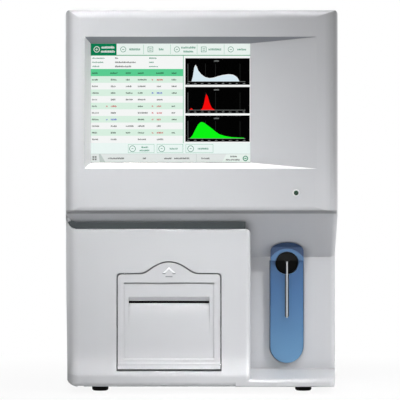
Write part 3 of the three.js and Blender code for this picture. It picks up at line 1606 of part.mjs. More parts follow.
function powerSupply() {
  const xs = [supplyLeft, supplyLeft + supplyWidth];
  const ys = [frameY + supplySetback, rearY - supplyRearInset];
  const hollow = box(
    [xs[0] + supplyCover, xs[1] - supplyCover],
    [ys[0] - overrun, ys[1] - supplyCover],
    [supplyCover, supplyHeight - supplyCover],
  );
  const board = box(
    [xs[0] + supplyCover / 2, xs[1] - supplyCover / 2],
    [ys[0] + supplyHeight / 2, ys[1] - supplyCover / 2],
    [supplyHeight / 6, supplyHeight / 6 + boardThickness],
  );
  return box(xs, ys, [0, supplyHeight]).subtract(hollow).add(board);
}
addPiece(shelfTop, "power_supply", powerSupply(), zincSteel);

// Fan: frame with a round duct and struts, rotor with pitched blades
const fan = groupAt(rear, fanX, -rearSheet - gap, fanZ);
const strutDepths = [-sheet - bite, -bite];

function fanFrame() {
  const half = fanSize / 2;
  let frame = box([-half, half], [-fanDepth, 0], [-half, half])
    .subtract(barY(fanBore, [-fanDepth - overrun, overrun], [0, 0], roundSides));
  const struts = join(
    box([-fanStrutWidth / 2, fanStrutWidth / 2], strutDepths, [bite - half, half - bite]),
    box([bite - half, half - bite], strutDepths, [-fanStrutWidth / 2, fanStrutWidth / 2]),
    barY(fanHubRadius, strutDepths, [0, 0], roundSides),
  );
  frame = frame.add(struts);
  for (const x of [-half + fanScrewInset, half - fanScrewInset]) {
    for (const z of [-half + fanScrewInset, half - fanScrewInset]) {
      frame = frame.subtract(barY(portRadius, [-fanDepth - overrun, overrun], [x, z]));
    }
  }
  return frame;
}
addPiece(fan, "fan_frame", fanFrame(), blackPlastic);

function fanRotor() {
  const rotorBack = strutDepths[0] - gap;
  let rotor = barY(fanHubRadius, [rotorBack - fanHubDepth, rotorBack], [0, 0], roundSides);
  const bladeHalf = fanHubDepth / 2 - bite;
  for (let index = 0; index < fanBladeCount; index++) {
    const blade = new THREE.BoxGeometry(fanBladeTip - fanHubRadius / 2, fanBladeThickness, 2 * bladeHalf);
    blade.rotateX(Math.PI / 2 - fanBladePitch);
    blade.translate((fanBladeTip + fanHubRadius / 2) / 2, rotorBack - fanHubDepth / 2, 0);
    blade.rotateY((index / fanBladeCount) * 2 * Math.PI);
    rotor = rotor.add(solid(blade));
  }
  return rotor;
}
addPiece(fan, "fan_rotor", fanRotor(), blackPlastic);

// Mains inlet with its three pins, and the rocker switch beside it
function powerInlet() {
  const half = [inletWidth / 2, inletHeight / 2];
  const face = box(
    [-half[0] - inletFace, half[0] + inletFace],
    [gap, gap + inletFace],
    [-half[1] - inletFace, half[1] + inletFace],
  );
  const housing = box([-half[0], half[0]], [-inletDepth, gap + bite], [-half[1], half[1]]);
  const [acrossShare, upShare, cornerShare] = wellShares;
  const wallX = half[0] * acrossShare;
  const wallZ = half[1] * upShare;
  const well = polygon([
    [-wallX, -wallZ], [wallX, -wallZ], [wallX, wallZ / 3],
    [wallX * cornerShare, wallZ], [-wallX * cornerShare, wallZ], [-wallX, wallZ / 3],
  ]);
  let form = join(face, housing).subtract(prismY(well, [-inletWell, inletFace + overrun]));
  const pins = [[0, inletPinWidth], [-inletPinSpacing, -inletPinWidth], [inletPinSpacing, -inletPinWidth]];
  for (const [x, z] of pins) {
    form = form.add(box(
      [x - inletPinWidth / 2, x + inletPinWidth / 2],
      [-inletWell - bite, -inletWell + inletPinLength],
      [z - inletPinHeight / 2, z + inletPinHeight / 2],
    ));
  }
  return form;
}
addPiece(rear, "power_inlet", powerInlet(), blackPlastic).position.set(inletX, 0, inletZ);

function rockerSwitch() {
  const place = groupAt(rear, switchX, 0, inletZ);
  const half = [rockerWidth / 2, rockerHeight / 2];
  const bezel = box(
    [-half[0] - inletFace, half[0] + inletFace],
    [gap, gap + inletFace],
    [-half[1] - inletFace, half[1] + inletFace],
  );
  const housing = box([-half[0], half[0]], [-rockerDepth, gap + bite], [-half[1], half[1]]);
  const opening = box(
    [-half[0] + inletFace / 2, half[0] - inletFace / 2],
    [-rockerDepth / 2, inletFace + overrun],
    [-half[1] + inletFace / 2, half[1] - inletFace / 2],
  );
  addPiece(place, "switch_housing", join(bezel, housing).subtract(opening), blackPlastic);
  const paddleHalf = [half[0] - inletFace / 2 - gap, half[1] - inletFace / 2 - 2 * gap];
  const outline = polygon([
    [-inletFace, -paddleHalf[1] + gap], [inletFace, -paddleHalf[1]], [inletFace / 2, 0],
    [inletFace, paddleHalf[1]], [-inletFace, paddleHalf[1] - gap],
  ]);
  const paddle = prismX(outline, [-paddleHalf[0], paddleHalf[0]]);
  const mesh = addPiece(place, "rocker_switch", paddle, blackPlastic);
  mesh.rotation.x = rockerTilt;
}
rockerSwitch();

// Interface block with its row of sockets behind the rear panel
function interfacePorts() {
  const xs = [portsLeft, portsRight];
  const back = -rearSheet - gap;
  const zs = [portsZ - portsHeight / 2, portsZ + portsHeight / 2];
  let form = box(xs, [back - portsDepth, back], zs);
  const pitch = portsWidth / portCount;
  for (let index = 0; index < portCount; index++) {
    const x = portsLeft + (index + 0.5) * pitch;
    form = form.subtract(box(
      [x - portWidth / 2, x + portWidth / 2], [back - portsDepth / 2, back + overrun],
      [portsZ - portHeight / 2, portsZ + portHeight / 2],
    ));
  }
  return form;
}
addPiece(rear, "interface_ports", interfacePorts(), greyPlastic);

// Hose fittings: a plate with barbed nozzles for diluent, lyse, rinse and waste
function hoseFittings() {
  const last = hoseX + (hoseCount - 1) * hoseSpacing;
  const side = hoseSpacing / 2;
  const plate = box(
    [hoseX - side, last + side],
    [gap, gap + hosePlateThickness],
    [hoseZ - hosePlateHeight / 2, hoseZ + hosePlateHeight / 2],
  );
  const start = gap + hosePlateThickness;
  const pitch = (hoseReach - start) / barbCount;
  const profile = [[0, -bite]];
  for (let index = 0; index < barbCount; index++) {
    const foot = index ? index * pitch : -bite;
    profile.push([barbRadius, foot], [barbNeckShare * barbRadius, (index + 1) * pitch]);
  }
  profile.push([0, barbCount * pitch]);
  const nozzle = turned(profile, smallSides).subtract(barZ(barbBore, [0, hoseReach], [0, 0]));
  let form = plate;
  for (let index = 0; index < hoseCount; index++) {
    const x = hoseX + index * hoseSpacing;
    form = form.add(nozzle.rotate([-90, 0, 0]).translate([x, start, hoseZ]));
  }
  return form;
}
addPiece(rear, "hose_fittings", hoseFittings(), greyPlastic);

export default analyzer;
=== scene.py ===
"""The visual model of a benchtop hematology analyzer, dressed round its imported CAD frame."""

import json
import math
import random

import bmesh
import bpy
from mathutils import Matrix, Vector

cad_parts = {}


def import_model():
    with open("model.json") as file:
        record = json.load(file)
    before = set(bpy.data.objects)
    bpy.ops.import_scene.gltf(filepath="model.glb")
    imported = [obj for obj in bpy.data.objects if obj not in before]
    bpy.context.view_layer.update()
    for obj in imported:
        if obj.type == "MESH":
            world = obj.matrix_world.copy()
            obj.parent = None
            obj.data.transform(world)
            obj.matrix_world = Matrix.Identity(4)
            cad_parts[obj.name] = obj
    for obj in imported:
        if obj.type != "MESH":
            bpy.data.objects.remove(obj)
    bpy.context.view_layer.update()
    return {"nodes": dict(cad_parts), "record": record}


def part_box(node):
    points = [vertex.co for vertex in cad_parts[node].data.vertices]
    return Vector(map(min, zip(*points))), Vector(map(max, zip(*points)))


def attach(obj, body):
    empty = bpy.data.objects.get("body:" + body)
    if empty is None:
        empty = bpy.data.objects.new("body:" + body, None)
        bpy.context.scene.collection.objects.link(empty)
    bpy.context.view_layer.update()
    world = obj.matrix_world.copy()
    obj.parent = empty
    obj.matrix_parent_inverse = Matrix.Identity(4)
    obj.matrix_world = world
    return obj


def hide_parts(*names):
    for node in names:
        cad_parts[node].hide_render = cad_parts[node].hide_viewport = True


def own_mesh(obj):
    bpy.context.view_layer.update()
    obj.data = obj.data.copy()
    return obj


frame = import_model()
NODES = frame["nodes"]

MM = 0.001
FRONT_Y = -215.0
ORIGIN = (0, 0, 0)
TOUCH = 1e-5

# Shapes are worked out in millimetres, with depth counted from the front plane.


def arc(cx, cy, radius, start, end, steps):
    """Points of an arc from one angle to the other, in degrees."""
    points = []
    for step in range(steps + 1):
        angle = math.radians(start + (end - start) * step / steps)
        points.append((cx + radius * math.cos(angle), cy + radius * math.sin(angle)))
    return points


def area_of(points):
    total = 0.0
    for (x0, y0), (x1, y1) in zip(points, points[1:] + points[:1]):
        total += x0 * y1 - x1 * y0
    return total / 2


def clean(points):
    """An outline without doubled points, counterclockwise."""
    kept = []
    for point in points:
        if not kept or math.dist(point, kept[-1]) > 1e-4:
            kept.append(point)
    if math.dist(kept[0], kept[-1]) < 1e-4:
        kept.pop()
    return kept if area_of(kept) > 0 else kept[::-1]


def linked(name, data):
    """A new object in the scene."""
    obj = bpy.data.objects.new(name, data)
    bpy.context.scene.collection.objects.link(obj)
    return obj


def mesh_piece(verts, faces):
    mesh = bpy.data.meshes.new("form")
    mesh.from_pydata([tuple(v) for v in verts], [], faces)
    bm = bmesh.new()
    bm.from_mesh(mesh)
    bmesh.ops.remove_doubles(bm, verts=bm.verts, dist=TOUCH)
    bmesh.ops.recalc_face_normals(bm, faces=bm.faces)
    bm.to_mesh(mesh)
    bm.free()
    return linked("form", mesh)


PLACES = {
    "x": lambda p, t: (t, p[0], p[1]),
    "y": lambda p, t: (p[0], t, p[1]),
    "z": lambda p, t: (p[0], p[1], t),
}


def loft(axis, stations):
    """A closed skin over outlines of equal point counts at stations along an axis."""
    place = PLACES[axis]
    count = len(stations[0][1])
    verts = [place(p, t) for t, points in stations for p in points]
    faces = []
    for row in range(len(stations) - 1):
        for i in range(count):
            a = row * count + i
            b = row * count + (i + 1) % count
            faces.append((a, b, b + count, a + count))
    last = (len(stations) - 1) * count
    faces.append(tuple(reversed(range(count))))
    faces.append(tuple(range(last, last + count)))
    return mesh_piece(verts, faces)


def prism(axis, outline, low, high):
    points = clean(outline)
    return loft(axis, [(low, points), (high, points)])


def block(x, y, z):
    return prism("z", [(x[0], y[0]), (x[1], y[0]), (x[1], y[1]), (x[0], y[1])], z[0], z[1])


def rod(axis, radius, centre, low, high, steps=48):
    return prism(axis, arc(centre[0], centre[1], radius, 0, 360, steps), low, high)


def rounded(x, y, radii, steps):
    """A rectangle's outline with radii lower left, lower right, upper right, upper left."""
    points = []
    for start, i, j, radius in zip((180, 270, 0, 90), (0, 1, 1, 0), (0, 0, 1, 1), radii):
        cx, cy = x[i] + radius * (1 - 2 * i), y[j] + radius * (1 - 2 * j)
        points += arc(cx, cy, radius, start, start + 90, steps) if radius else [(x[i], y[j])]
    return points


def hull(points):
    mesh = bpy.data.meshes.new("form")
    bm = bmesh.new()
    verts = [bm.verts.new(p) for p in points]
    result = bmesh.ops.convex_hull(bm, input=verts)
    inside = result["geom_interior"] + result["geom_unused"]
    loose = [v for v in inside if isinstance(v, bmesh.types.BMVert)]
    bmesh.ops.delete(bm, geom=list(set(loose)), context="VERTS")
    bmesh.ops.recalc_face_normals(bm, faces=bm.faces)
    bm.to_mesh(mesh)
    bm.free()
    return linked("form", mesh)


def lathe(profile, steps):
    """A turned form round the Z axis, from (radius, height) points that start and end on it."""
    verts, rings, faces = [], [], []
    for radius, height in profile:
        count = 1 if radius < TOUCH else steps
        rings.append([len(verts) + i % count for i in range(steps)])
        for i in range(count):
            angle = 2 * math.pi * i / steps
            verts.append((radius * math.cos(angle), radius * math.sin(angle), height))
    for low, high in zip(rings, rings[1:]):
        for i in range(steps):
            j = (i + 1) % steps
            corners = tuple(dict.fromkeys((low[i], low[j], high[j], high[i])))
            if len(corners) > 2:
                faces.append(corners)
    return mesh_piece(verts, faces)


def to_front(form):
    """A turned form with its axis laid along the depth."""
    form.data.transform(Matrix.Rotation(math.radians(90), 4, "X"))
    return form


def remove(obj):
    mesh = obj.data
    bpy.data.objects.remove(obj)
    if mesh.users == 0:
        bpy.data.meshes.remove(mesh)


def combine(form, others, operation):
    """The form after a boolean with each of the others, which are used up."""
    for other in others:
        modifier = form.modifiers.new("boolean", "BOOLEAN")
        modifier.operation = operation
        modifier.object = other
        for solver in ("MANIFOLD", "EXACT"):
            modifier.solver = solver
            graph = bpy.context.evaluated_depsgraph_get()
            graph.update()
            made = bpy.data.meshes.new_from_object(form.evaluated_get(graph))
            if len(made.polygons):
                break
        form.modifiers.clear()
        old = form.data
        form.data = made
        if old.users == 0:
            bpy.data.meshes.remove(old)
        remove(other)
    return form


def join(form, *others):
    return combine(form, others, "UNION")


def cut(form, *others):
    return combine(form, others, "DIFFERENCE")


def overlap(form, *others):
    return combine(form, others, "INTERSECT")


def settle(obj, name, shift):
    """A form from millimetres behind the front plane to metres in the row frame."""
    x, y, z = shift
    obj.data.transform(Matrix.Scale(MM, 4) @ Matrix.Translation((x, FRONT_Y + y, z)))
    obj.name = name
    obj.data.name = name
    return obj


def bezier(a, b, c, d, steps):
    points = []
    for step in range(steps + 1):
        t = step / steps
        weights = ((1 - t) ** 3, 3 * t * (1 - t) ** 2, 3 * t * t * (1 - t), t**3)
        points.append(tuple(sum(w * p[k] for w, p in zip(weights, (a, b, c, d))) for k in (0, 1)))
    return points


def moved(points, dx):
    return [(x + dx, z) for x, z in points]


# Nodes take their inputs as a table of numbers to set and of other nodes' outputs to link.

MIX_A, MIX_B, MIX_RESULT = 6, 7, 2  # the colour sockets of a Mix node


def feed(tree, node, values):
    for name, value in values.items():
        if isinstance(value, bpy.types.NodeSocket):
            tree.links.new(value, node.inputs[name])
        else:
            node.inputs[name].default_value = value


def configured(thing, settings):
    for key, value in settings.items():
        setattr(thing, key, value)
    return thing


def add(tree, kind, values=None, **settings):
    node = configured(tree.nodes.new(kind), settings)
    feed(tree, node, values or {})
    return node


# Smoothing is done by modifiers, for new pieces and for carried-over nodes.


def smoothing_group():
    """Geometry nodes that merge doubles and shade smooth up to an angle."""
    group = bpy.data.node_groups.new("smooth_by_angle", "GeometryNodeTree")
    sockets = group.interface
    sockets.new_socket("Geometry", in_out="INPUT", socket_type="NodeSocketGeometry")
    angle = sockets.new_socket("Angle", in_out="INPUT", socket_type="NodeSocketFloat")
    angle.default_value = math.radians(30)
    sockets.new_socket("Geometry", in_out="OUTPUT", socket_type="NodeSocketGeometry")
    source = add(group, "NodeGroupInput")
    bend = add(group, "GeometryNodeInputMeshEdgeAngle").outputs["Unsigned Angle"]
    shallow = add(group, "FunctionNodeCompare", data_type="FLOAT", operation="LESS_EQUAL")
    feed(group, shallow, {"A": bend, "B": source.outputs["Angle"]})
    edges = {"Shade Smooth": shallow.outputs["Result"]}
    chain = [
        source,
        add(group, "GeometryNodeRemoveAttribute", {"Name": "custom_normal"}),
        add(group, "GeometryNodeMergeByDistance", {"Distance": 1e-6}),
        add(group, "GeometryNodeSetShadeSmooth", edges, domain="EDGE"),
        add(group, "GeometryNodeSetShadeSmooth", {"Shade Smooth": True}, domain="FACE"),
        add(group, "NodeGroupOutput"),
    ]
    for first, second in zip(chain, chain[1:]):
        feed(group, second, {"Geometry": first.outputs["Geometry"]})
    return group


SMOOTHING = smoothing_group()


def modify(obj, name, kind, **settings):
    return configured(obj.modifiers.new(name, kind), settings)


def soften(obj, degrees=30.0, bevel=0.0, segments=3, limit=30.0):
    """Rounded edges of a bevel in millimetres, then shading that is smooth up to an angle."""
    if bevel:
        modify(obj, "weld", "WELD", merge_threshold=1e-6)
        modify(obj, "bevel", "BEVEL", width=bevel * MM, segments=segments, limit_method="ANGLE",
               angle_limit=math.radians(limit), use_clamp_overlap=True, harden_normals=False)
    shade = modify(obj, "smooth", "NODES", node_group=SMOOTHING)
    for item in SMOOTHING.interface.items_tree:
        if item.name == "Angle":
            shade[item.identifier] = math.radians(degrees)
    modify(obj, "normals", "WEIGHTED_NORMAL", keep_sharp=True, weight=90)


# Materials are procedural, in object coordinates.


def new_material(name):
    material = bpy.data.materials.new(name)
    material.use_nodes = True
    tree = material.node_tree
    shader = tree.nodes["Principled BSDF"]
    return material, tree, shader


def coordinates(tree, scale=(1, 1, 1)):
    place = add(tree, "ShaderNodeTexCoord").outputs["Object"]
    return add(tree, "ShaderNodeMapping", {"Vector": place, "Scale": scale}).outputs["Vector"]


def noise(tree, vector, scale, detail=3.0, roughness=0.55):
    values = {"Vector": vector, "Scale": scale, "Detail": detail, "Roughness": roughness}
    return add(tree, "ShaderNodeTexNoise", values).outputs["Fac"]


def ramp(tree, value, stops):
    node = add(tree, "ShaderNodeValToRGB")
    elements = node.color_ramp.elements
    while len(elements) < len(stops):
        elements.new(0.5)
    for element, (place, colour) in zip(elements, stops):
        element.position = place
        element.color = (*colour, 1)
    tree.links.new(value, node.inputs["Fac"])
    return node.outputs["Color"]


def spread(tree, value, low, high, start=0.0, end=1.0, **settings):
    """A value that runs from start to end, brought to run from low to high."""
    values = {"Value": value, "From Min": start, "From Max": end, "To Min": low, "To Max": high}
    return add(tree, "ShaderNodeMapRange", values, **settings).outputs["Result"]


def bump(tree, value, strength, distance, under=None):
    values = {"Height": value, "Strength": strength, "Distance": distance}
    if under is not None:
        values["Normal"] = under
    return add(tree, "ShaderNodeBump", values).outputs["Normal"]


def soft_edges(tree, radius):
    return add(tree, "ShaderNodeBevel", {"Radius": radius * MM}, samples=6).outputs["Normal"]


def linear(colour):
    """An sRGB colour given in 0 to 255, as linear light."""
    out = []
    for channel in colour:
        c = channel / 255
        out.append(c / 12.92 if c <= 0.04045 else ((c + 0.055) / 1.055) ** 2.4)
    return tuple(out)


def shade_of(colour, factor):
    return tuple(min(1.0, c * factor) for c in colour)


def tinted(tree, share, colour, low, high, start=0.3, end=0.7):
    """The colour times low where share is at start, up to times high at end."""
    base = linear(colour)
    return ramp(tree, share, [(start, shade_of(base, low)), (end, shade_of(base, high))])


def math_of(tree, operation, first, second):
    return add(tree, "ShaderNodeMath", {0: first, 1: second}, operation=operation).outputs[0]


def multiplied(tree, colour, level):
    values = {"Factor": 1.0, MIX_A: colour, MIX_B: level}
    mix = add(tree, "ShaderNodeMix", values, data_type="RGBA", blend_type="MULTIPLY")
    return mix.outputs[MIX_RESULT]


def painted_corner_shade(tree, colour, reach, dark):
    """Painted shade: the colour a little darker down in corners and gaps."""
    node = add(tree, "ShaderNodeAmbientOcclusion", {"Distance": reach * MM}, samples=8)
    return multiplied(tree, colour, spread(tree, node.outputs["AO"], dark, 1.0))


def place_parts(tree, source):
    return add(tree, "ShaderNodeSeparateXYZ", {0: source}).outputs


def painted_shade_zone(tree, colour, factor, ranges):
    """Painted shade: the colour times factor inside a soft-edged zone, given in mm as axis: (low,
    high, soft).
    """
    parts = place_parts(tree, add(tree, "ShaderNodeTexCoord").outputs["Object"])
    inside = None
    for axis, (low, high, soft) in ranges.items():
        for start, end in ((low - soft, low), (high + soft, high)):
            step = spread(tree, parts[axis], 0.0, 1.0, start * MM, end * MM)
            inside = step if inside is None else math_of(tree, "MULTIPLY", inside, step)
    return multiplied(tree, colour, spread(tree, inside, 1.0, factor))


CORNER_SHADE_REACH = 14.0
TONE_SCALE = 9.0
GRAIN_BUMP = 0.35


def moulded(name, colour, roughness, grain, depth, vary, edge,
            metallic=0.0, coat=0.0, shade=0.0, specular=0.5, shade_zones=()):
    """Plastic or paint with a fine grain, slow tone changes and softened edges."""
    material, tree, shader = new_material(name)
    vector = coordinates(tree)
    tint = tinted(tree, noise(tree, vector, TONE_SCALE, 2.0), colour, 1 - vary, 1 + vary)
    # Painted shade: darker in corners, then inside the given zones.
    if shade:
        tint = painted_corner_shade(tree, tint, CORNER_SHADE_REACH, 1 - shade)
    for factor, ranges in shade_zones:
        tint = painted_shade_zone(tree, tint, factor, ranges)
    fine = noise(tree, vector, grain, 2.0)
    under = soft_edges(tree, edge) if edge else None
    feed(tree, shader, {
        "Base Color": tint, "Metallic": metallic, "Specular IOR Level": specular,
        "Roughness": spread(tree, fine, roughness - 0.05, roughness + 0.05),
        "Coat Weight": coat, "Coat Roughness": 0.25,
        "Normal": bump(tree, fine, GRAIN_BUMP, depth, under),
    })
    return material


def metal(name, colour, roughness):
    """Metal with drawn streaks along the height."""
    material, tree, shader = new_material(name)
    streaks = noise(tree, coordinates(tree, (1, 1, 30)), 220.0, 4.0, 0.7)
    feed(tree, shader, {
        "Base Color": tinted(tree, streaks, colour, 0.85, 1.08, 0.25, 0.75), "Metallic": 1.0,
        "Roughness": spread(tree, streaks, roughness - 0.08, roughness + 0.12),
        "Normal": bump(tree, streaks, 0.2, 0.00003),
    })
    return material


def zinc(name):
    """Zinc-plated sheet with its soft spangle."""
    material, tree, shader = new_material(name)
    vector = coordinates(tree)
    cells = add(tree, "ShaderNodeTexVoronoi", {"Vector": vector, "Scale": 140.0})
    flake = add(tree, "ShaderNodeSeparateColor", {"Color": cells.outputs["Color"]}).outputs
    stops = [(0.0, linear((150, 154, 158))), (1.0, linear((186, 190, 194)))]
    feed(tree, shader, {
        "Base Color": ramp(tree, flake["Red"], stops), "Metallic": 0.9,
        "Roughness": spread(tree, flake["Green"], 0.34, 0.5),
        "Normal": bump(tree, noise(tree, vector, 900.0), 0.15, 0.00003),
    })
    return material


def clear(name, colour, roughness, transmission):
    """Acrylic or lens plastic that light passes through."""
    material, tree, shader = new_material(name)
    fine = noise(tree, coordinates(tree), 60.0)
    feed(tree, shader, {
        "Base Color": tinted(tree, fine, colour, 0.96, 1.0), "IOR": 1.49,
        "Roughness": spread(tree, fine, roughness * 0.7, roughness * 1.3),
        "Transmission Weight": transmission,
    })
    return material


def circuit(name):
    """Green solder mask over faint copper tracks."""
    material, tree, shader = new_material(name)
    vector = coordinates(tree)
    tracks = add(tree, "ShaderNodeTexBrick", {
        "Vector": vector, "Scale": 160.0, "Mortar Size": 0.035,
        "Color1": (*linear((26, 96, 60)), 1), "Color2": (*linear((30, 108, 68)), 1),
        "Mortar": (*linear((70, 142, 92)), 1),
    }).outputs
    feed(tree, shader, {
        "Base Color": tracks["Color"], "Normal": bump(tree, tracks["Fac"], 0.3, 0.00004),
        "Roughness": spread(tree, noise(tree, vector, 700.0), 0.3, 0.45),
    })
    return material


BLUE_PAINTED_SHADE_STOPS = [
    (0.0, (94, 138, 176)), (0.35, (76, 118, 158)), (0.7, (62, 102, 146)), (1.0, (54, 90, 132)),
]


def key_blue(name, low, high):
    """Glossy blue moulding, lighter at its foot and darker at its top with painted shade under the
    hood, heights in metres.
    """
    material, tree, shader = new_material(name)
    vector = coordinates(tree)
    share = spread(tree, place_parts(tree, vector)["Z"], 0.0, 1.0, low, high)
    fine = noise(tree, vector, 1500.0)
    feed(tree, shader, {
        "Base Color": ramp(tree, share, [(place, linear(colour)) for place, colour in BLUE_PAINTED_SHADE_STOPS]),
        "Roughness": spread(tree, fine, 0.26, 0.34),
        "Normal": bump(tree, fine, 0.2, 0.00002, soft_edges(tree, 0.4)),
    })
    return material


def paper_stock(name):
    """Fibrous paper, wound in turns round the X axis."""
    material, tree, shader = new_material(name)
    vector = coordinates(tree)
    fibres = noise(tree, vector, 500.0, 6.0, 0.7)
    turns = {"Vector": vector, "Scale": 900.0}
    wound = add(tree, "ShaderNodeTexWave", turns, wave_type="RINGS", rings_direction="X")
    feed(tree, shader, {
        "Base Color": tinted(tree, fibres, (238, 236, 230), 0.94, 1.0), "Roughness": 0.85,
        "Normal": bump(tree, wound.outputs["Fac"], 0.25, 0.00005),
    })
    return material


def glow(name, colour):
    """A colour of the lit display."""
    material, tree, shader = new_material(name)
    fine = noise(tree, coordinates(tree), 260.0)
    feed(tree, shader, {
        "Emission Color": tinted(tree, fine, colour, 0.985, 1.0), "Emission Strength": 0.95,
        "Base Color": (0.001, 0.001, 0.001, 1), "Roughness": 0.35, "Specular IOR Level": 0.0,
    })
    return material


# Plastics and paints: name, colour, roughness, grain, its depth, tone change and edge radius, then
# metallic, coat and how much painted shade darkens corners. The shell's zones are painted shade: a
# dark line along the lip and darker roundings at the left and the upper right.
COVER = (200, 201, 204)
SHELL_PAINTED_SHADE_ZONES = (
    (0.52, {"Z": (237.8, 240.6, 1.6), "Y": (-214, -201, 2)}),
    (0.7, {"X": (-190, -176, 7), "Y": (-216, -206, 8)}),
    (0.7, {"X": (176, 190, 14), "Y": (-216, -206, 8), "Z": (330, 520, 150)}),
)
# Its last number darkens the corners of both silvers with painted shade.
SILVER_FINISH = (COVER, 0.42, 1500.0, 0.00003, 0.012, 0.9, 0.1, 0.0, 0.26)
SILVER = moulded("silver_moulding", *SILVER_FINISH)
SHELL_PAINTED_SHADE = moulded("silver_shell_painted_shade", *SILVER_FINISH, shade_zones=SHELL_PAINTED_SHADE_ZONES)
# The screen's rims: a painted highlight on the lower and left rims, painted shade on the upper one.
RIM_LOW_PAINTED_HIGHLIGHT = moulded("rim_painted_highlight", (250, 251, 252), 0.3, 1500.0, 0.00002, 0.01, 0.9)
RIM_TOP_PAINTED_SHADE = moulded("rim_painted_shade", (150, 153, 160), 0.55, 1500.0, 0.00003, 0.012, 0.9)
RIM_LEFT_PAINTED_HIGHLIGHT = moulded("rim_left_painted_highlight", (252, 252, 254), 0.42, 1500.0, 0.00003, 0.012, 0.9)
COAT_GREY = moulded("powder_coat", COVER, 0.5, 900.0, 0.00007, 0.015, 0.5)
BLACK = moulded("black_moulding", (9, 9, 8), 0.5, 1200.0, 0.00004, 0.1, 0.4, specular=0.15)
GREY = moulded("grey_moulding", (138, 142, 145), 0.5, 1200.0, 0.00004, 0.04, 0.4)
# Painted dark that stands for shade: the painted shadow in the gap over the panel and the probe's
# painted dark edges in the key's groove.
PAINTED_DARK = moulded("painted_dark", (58, 64, 66), 0.7, 700.0, 0.00006, 0.1, 0.3)
RUBBER = moulded("black_rubber", (12, 12, 12), 0.75, 700.0, 0.00008, 0.12, 0.5, specular=0.1)
ZINC = zinc("zinc_sheet")
STEEL = metal("polished_steel", (196, 198, 200), 0.2)
BRASS = metal("turned_brass", (186, 158, 96), 0.28)
CLEAR = clear("clear_acrylic", (224, 233, 235), 0.08, 0.9)
LENS = clear("green_lens", (24, 66, 44), 0.15, 0.2)
GLASS = moulded("screen_glass", (18, 24, 22), 0.18, 300.0, 0.00001, 0.05, 0.0, coat=0.6)
BOARD = circuit("solder_mask")
BLUE = key_blue("blue_key", 0.035, 0.173)
NAVY = moulded("blue_hood", (44, 66, 100), 0.3, 1500.0, 0.00002, 0.04, 0.4)
PAINTED_LIGHT_BLUE = moulded("blue_ring_painted_light", (80, 116, 156), 0.3, 1500.0, 0.00002, 0.03, 0.3)
PAPER = paper_stock("paper_stock")
PAINTED_HIGHLIGHT_WHITE = moulded("painted_highlight_white", (244, 245, 246), 0.4, 1200.0, 0.00002, 0.01, 0.2)
LAMP_RING_PAINTED_HIGHLIGHT = moulded("lamp_ring_painted_highlight", (232, 234, 235), 0.3, 1500.0, 0.00001, 0.01, 0.0)

SLOT_MATERIALS = {
    "silver_plastic": SILVER, "painted_steel": COAT_GREY, "zinc_steel": ZINC,
    "black_plastic": BLACK, "blue_plastic": NAVY, "grey_plastic": GREY, "rubber": RUBBER,
    "screen_glass": GLASS, "polished_steel": STEEL, "brass": BRASS, "board_green": BOARD,
    "paper": PAPER, "clear_acrylic": CLEAR, "green_lens": LENS,
}


def paint(obj, material):
    obj.data.materials.clear()
    obj.data.materials.append(material)


def mount(form, name, place, material, body, replaced=None, rounding=(30.0,)):
    """A form made a finished piece that rides on a body and may stand for a CAD node."""
    piece = settle(form, name, place)
    paint(piece, material)
    soften(piece, *rounding)
    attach(piece, body)
    if replaced:
        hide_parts(replaced)
    return piece


def dress_nodes():
    """Every carried-over node gets its slot's material and softened, smooth-shaded edges."""
    for part in frame["record"]["subparts"]:
        node = NODES[part["node"]]
        paint(node, SLOT_MATERIALS[part["material_slot"]])
        soften(node, 32.0)


dress_nodes()

# The front cover is rebuilt finely over its CAD solid. Its masses are made twice: full, with t at
# 0, and moved in by the wall t to hollow it, where they run past the open back and foot.

HALF, TOP, DEPTH, GROUND = 180.5, 506.0, 110.0, 8.5
WALL = 3.0
FACE_LOW, LIP = 247.0, 8.0
NICHE_D, NICHE_TOP = 80.0, 178.0
LIP_LOW = FACE_LOW - LIP
RISE = (LIP_LOW - NICHE_TOP) / (NICHE_D - LIP)
STRETCH = math.hypot(1, RISE)
PANEL_X, PANEL_TOP, PANEL_D = 64.6, 226.0, 60.0
FLARE_R, FLARE_DEG, TOE_R, TOE_Z = 95.0, 25.0, 10.0, 20.8
SETBACK = (FLARE_R + TOE_R) * (1 - math.cos(math.radians(FLARE_DEG)))
FLARE_Z = TOE_Z + (FLARE_R + TOE_R) * math.sin(math.radians(FLARE_DEG))
TOP_R, RIM_R, LEFT_R, SIDE_R, NICHE_R, CASE_R, FOOT_R = 12.0, 7.4, 20.0, 18.0, 7.0, 6.0, 5.0
SHELF_Z, SHELF_R, SHELF_RISE = 19.0, 6.0, 8.0 / NICHE_D
WALL_X = PANEL_X - 20
FINE = 20


def slope_z(d, t=0.0):
    """Height of the slanted underside at a depth, moved in by t."""
    return LIP_LOW - RISE * (d - LIP) + t * STRETCH


def face_d(z):
    """Depth of the panel's face at a height."""
    if z >= FLARE_Z:
        return SETBACK
    return SETBACK - FLARE_R + math.sqrt(FLARE_R**2 - (FLARE_Z - z) ** 2)


def quarter(steps):
    """The angles of a quarter turn."""
    return [math.radians(90 * step / steps) for step in range(steps + 1)]


def upper_profile(t, low, run):
    """The upper body's side view, its lip and slope moved inwards by low."""
    back = DEPTH + run
    shape = [(back, TOP - t), (TOP_R, TOP - t)]
    shape += arc(TOP_R, TOP - TOP_R, TOP_R - t, 90, 180, FINE)
    shape += arc(LIP, FACE_LOW, LIP - low, 180, 270, FINE)
    kink = LIP + low * (STRETCH - 1) / RISE + 0.001
    foot = slope_z(NICHE_D + t, low)
    return shape + [(kink, LIP_LOW + low), (NICHE_D + t, foot), (back, foot)]


def cover_upper(t, run):
    stations = [(t - HALF, upper_profile(t, t, run))]
    radius = RIM_R - t
    for angle in quarter(8):
        x = HALF - RIM_R + radius * math.sin(angle)
        stations.append((x, upper_profile(t, t + radius * (1 - math.cos(angle)), run)))
    return loft("x", stations)


